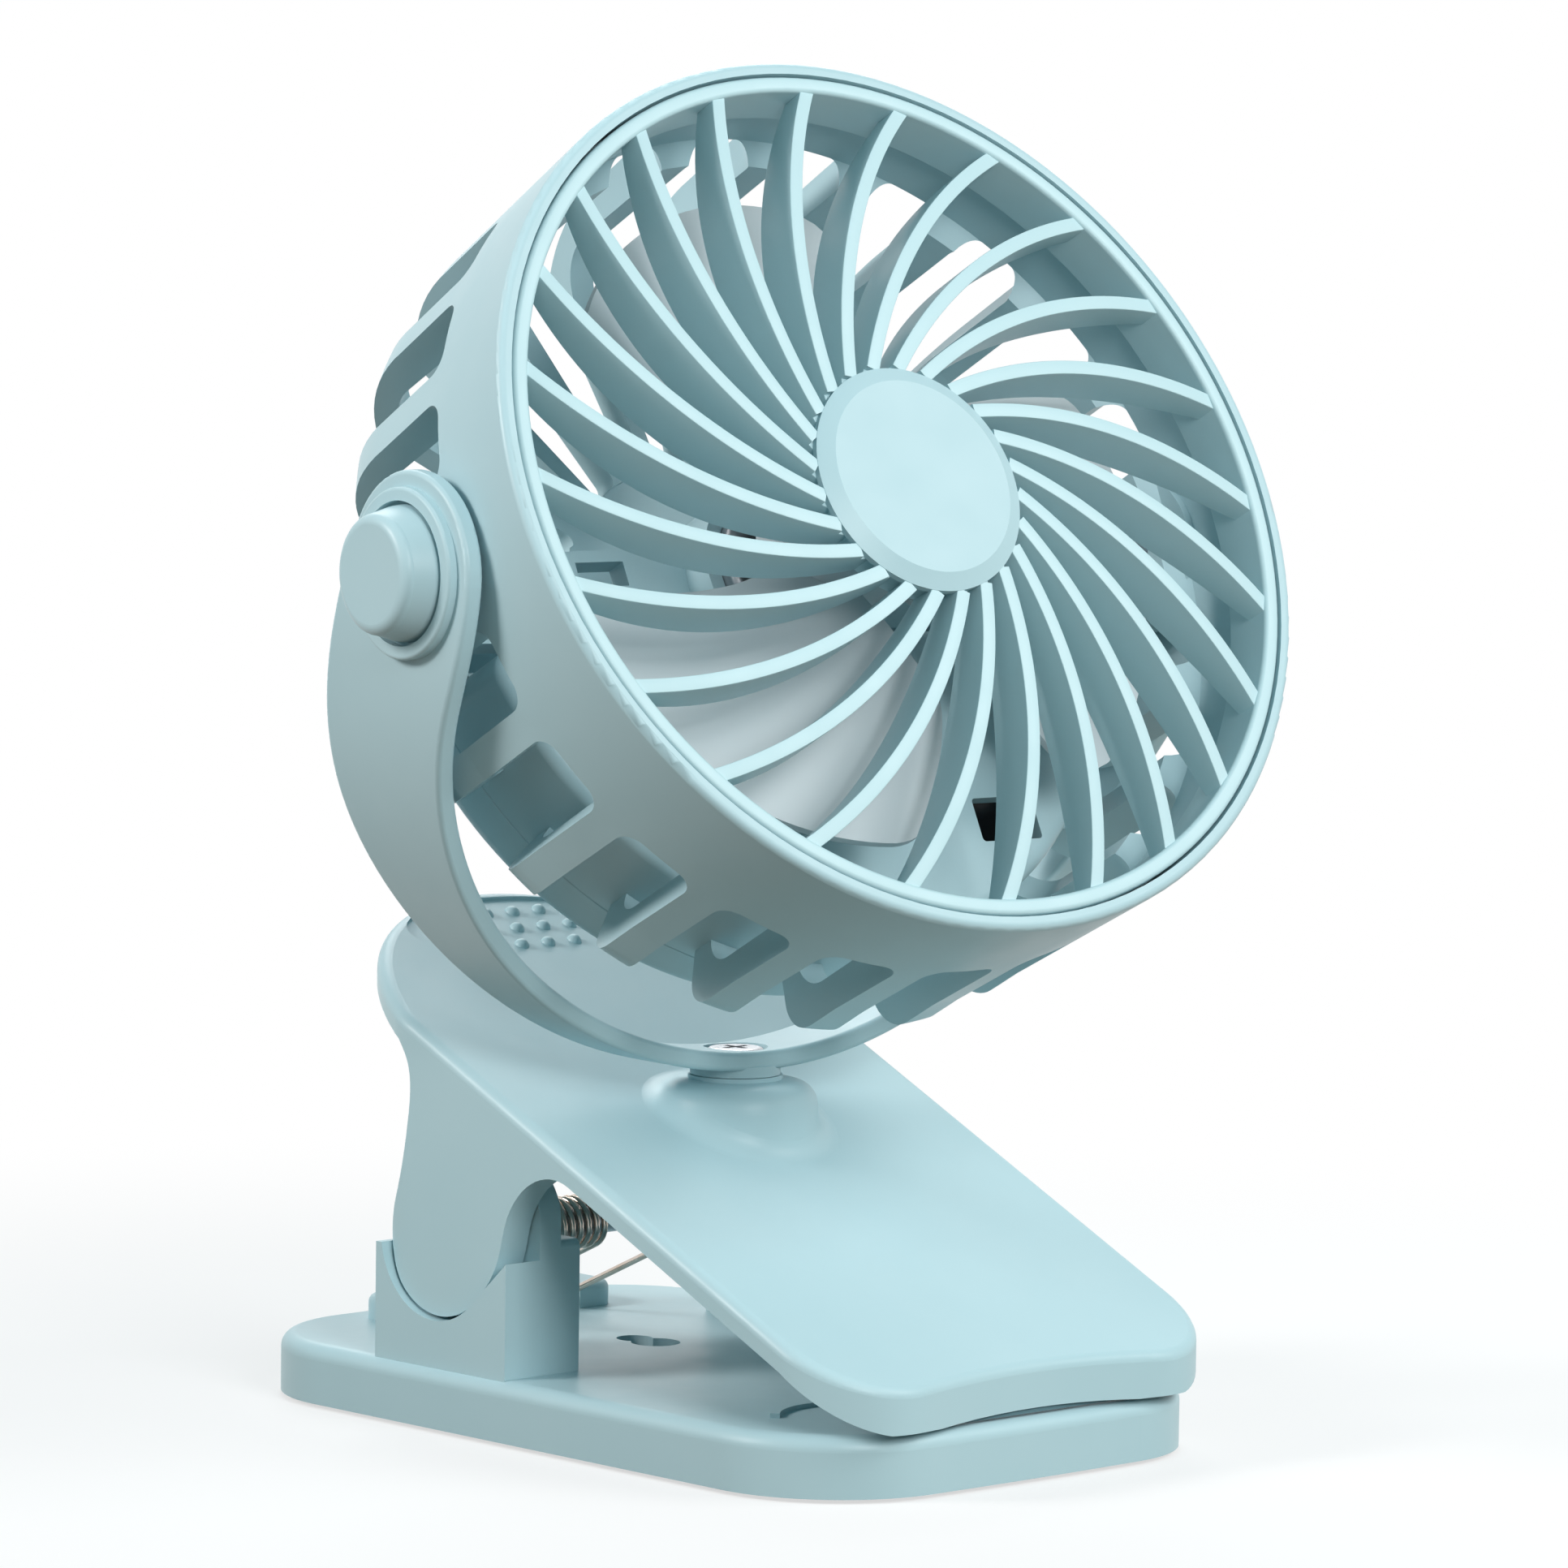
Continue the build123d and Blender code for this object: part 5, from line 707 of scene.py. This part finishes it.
# %% The whole impeller
HUB_STEPS = 72
HUB_REAR = 1.5
HUB_FRONT = 16.5
HUB_OUTER = 10.0
HUB_HOLLOW = 8.5
BOSS_OUTER = 3.0
SHAFT_HOLE = 1.0
SHAFT_HOLE_END = 13.0
HUB_PROFILE = (  # radius, height and rounding, from the shaft outwards and back over the front
    (SHAFT_HOLE, HUB_REAR, 0), (BOSS_OUTER, HUB_REAR, 0.2), (BOSS_OUTER, 13.7, 0),
    (HUB_HOLLOW, 12.5, 0), (HUB_HOLLOW, HUB_REAR, 0.2), (HUB_OUTER, HUB_REAR, 0.3),
    (HUB_OUTER, 14.2, 2.0), (7.4, 16.1, 1.5), (4.0, HUB_FRONT, 1.5), (0.0, HUB_FRONT, 0),
    (0.0, SHAFT_HOLE_END, 0), (SHAFT_HOLE, SHAFT_HOLE_END, 0),
)

use_tree(blade, around, Count=BLADE_COUNT, Start=radians(BLADE_START), Material=blade_grey)
impeller_shape = bmesh.new()
turned(impeller_shape, rounded(HUB_PROFILE), HUB_STEPS)
take_in(impeller_shape, blade)
impeller = new_piece("impeller_blades", impeller_shape, blade_grey)
impeller.data.transform(head_matrix)
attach(impeller, "impeller")
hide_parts("impeller")
print("impeller faces:", len(impeller.data.polygons))

# %% [markdown]
# The clip is closed by a double torsion spring: one wire whose cross bar lies in a seat on the
# base. It runs up to the pin on both sides, winds round it, and ends in two legs that push the back
# of the lever up. Its line is worked out from the pin, the radius of the coil and the points that
# the legs must reach. A Geometry Nodes tree then runs a round profile along the line, as the wire
# runs through a winding machine. The upper legs follow the lever when the clip opens, and the coil
# takes up the turn.

# %% Geometry Nodes: wire along a line
drawn, drawn_in, drawn_out = new_tree(
    "drawn_wire", "GeometryNodeTree",
    [("Geometry", "Geometry"), ("Radius", "Float"), ("Sides", "Int"), ("Material", "Material")],
    [("Geometry", "Geometry")])
drawn_line = add_node(drawn, "GeometryNodeMeshToCurve", {"Mesh": drawn_in.outputs["Geometry"]})
drawn_circle = add_node(drawn, "GeometryNodeCurvePrimitiveCircle",
                        {"Resolution": drawn_in.outputs["Sides"],
                         "Radius": drawn_in.outputs["Radius"]})
drawn_tube = add_node(drawn, "GeometryNodeCurveToMesh",
                      {"Curve": drawn_line.outputs["Curve"],
                       "Profile Curve": drawn_circle.outputs["Curve"], "Fill Caps": True})
end_tree(drawn, drawn_tube, drawn_in, drawn_out)

# %% The spring of the clip
WIRE_RADIUS = 0.5
WIRE_SIDES = 14
WIRE_SHARP = 60
COIL_RADIUS = 3.4
COIL_PITCH = 1.5
COIL_TURNS = 5
COIL_INNER_END = 9.3
COIL_STEP = 15.0
HINGE = Vector((18.0, 26.8))
SPRING_FOOT = Vector((47.0, 9.8))
SPRING_TOP = Vector((33.5, 55.62))
SPRING_BEND = 2.0
BEND_PULL = 0.55
BEND_STEPS = 8


def leg_turn(target, side):
    # direction, in degrees, of a leg that leaves the coil as a tangent and reaches the target
    away = target - HINGE
    return (atan2(away.y, away.x) + side * asin(COIL_RADIUS / away.length)) * 180 / pi


# a leg touches the coil a quarter turn away from its own direction
low_turn = leg_turn(SPRING_FOOT, 1)
high_turn = leg_turn(SPRING_TOP, -1)
coil_start = low_turn + 270
coil_sweep = coil_start - (high_turn + 90) + 360 * COIL_TURNS
coil_count = round(coil_sweep / COIL_STEP)
foot_corner = Vector((COIL_INNER_END, *SPRING_FOOT))
leg_way = Vector((0, *-polar(1, low_turn)))
foot_in = foot_corner - Vector((SPRING_BEND, 0, 0))
foot_up = foot_corner + leg_way * SPRING_BEND
half_line = interpolate_bezier(foot_in, foot_in.lerp(foot_corner, BEND_PULL),
                               foot_up.lerp(foot_corner, BEND_PULL), foot_up, BEND_STEPS)
for k in range(coil_count + 1):
    done = coil_sweep * k / coil_count
    spot = HINGE + polar(COIL_RADIUS, coil_start - done)
    half_line.append(Vector((COIL_INNER_END + COIL_PITCH * done / 360, *spot)))
half_line.append(Vector((half_line[-1].x, *SPRING_TOP)))
wire_line = [Vector((-p.x, p.y, p.z)) for p in reversed(half_line)] + half_line
spring_shape = bmesh.new()
wire_verts = [spring_shape.verts.new(p) for p in wire_line]
for pair in zip(wire_verts, wire_verts[1:]):
    spring_shape.edges.new(pair)
spring = new_piece("torsion_spring", spring_shape, wire_steel)
use_tree(spring, drawn, Radius=WIRE_RADIUS * MM, Sides=WIRE_SIDES, Material=wire_steel)
spring_mesh = settled(spring)
spring_mesh.shade_smooth()
spring_mesh.set_sharp_from_angle(angle=radians(WIRE_SHARP))
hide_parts("clip_spring")
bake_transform(spring)
print("spring faces:", len(spring_mesh.polygons))
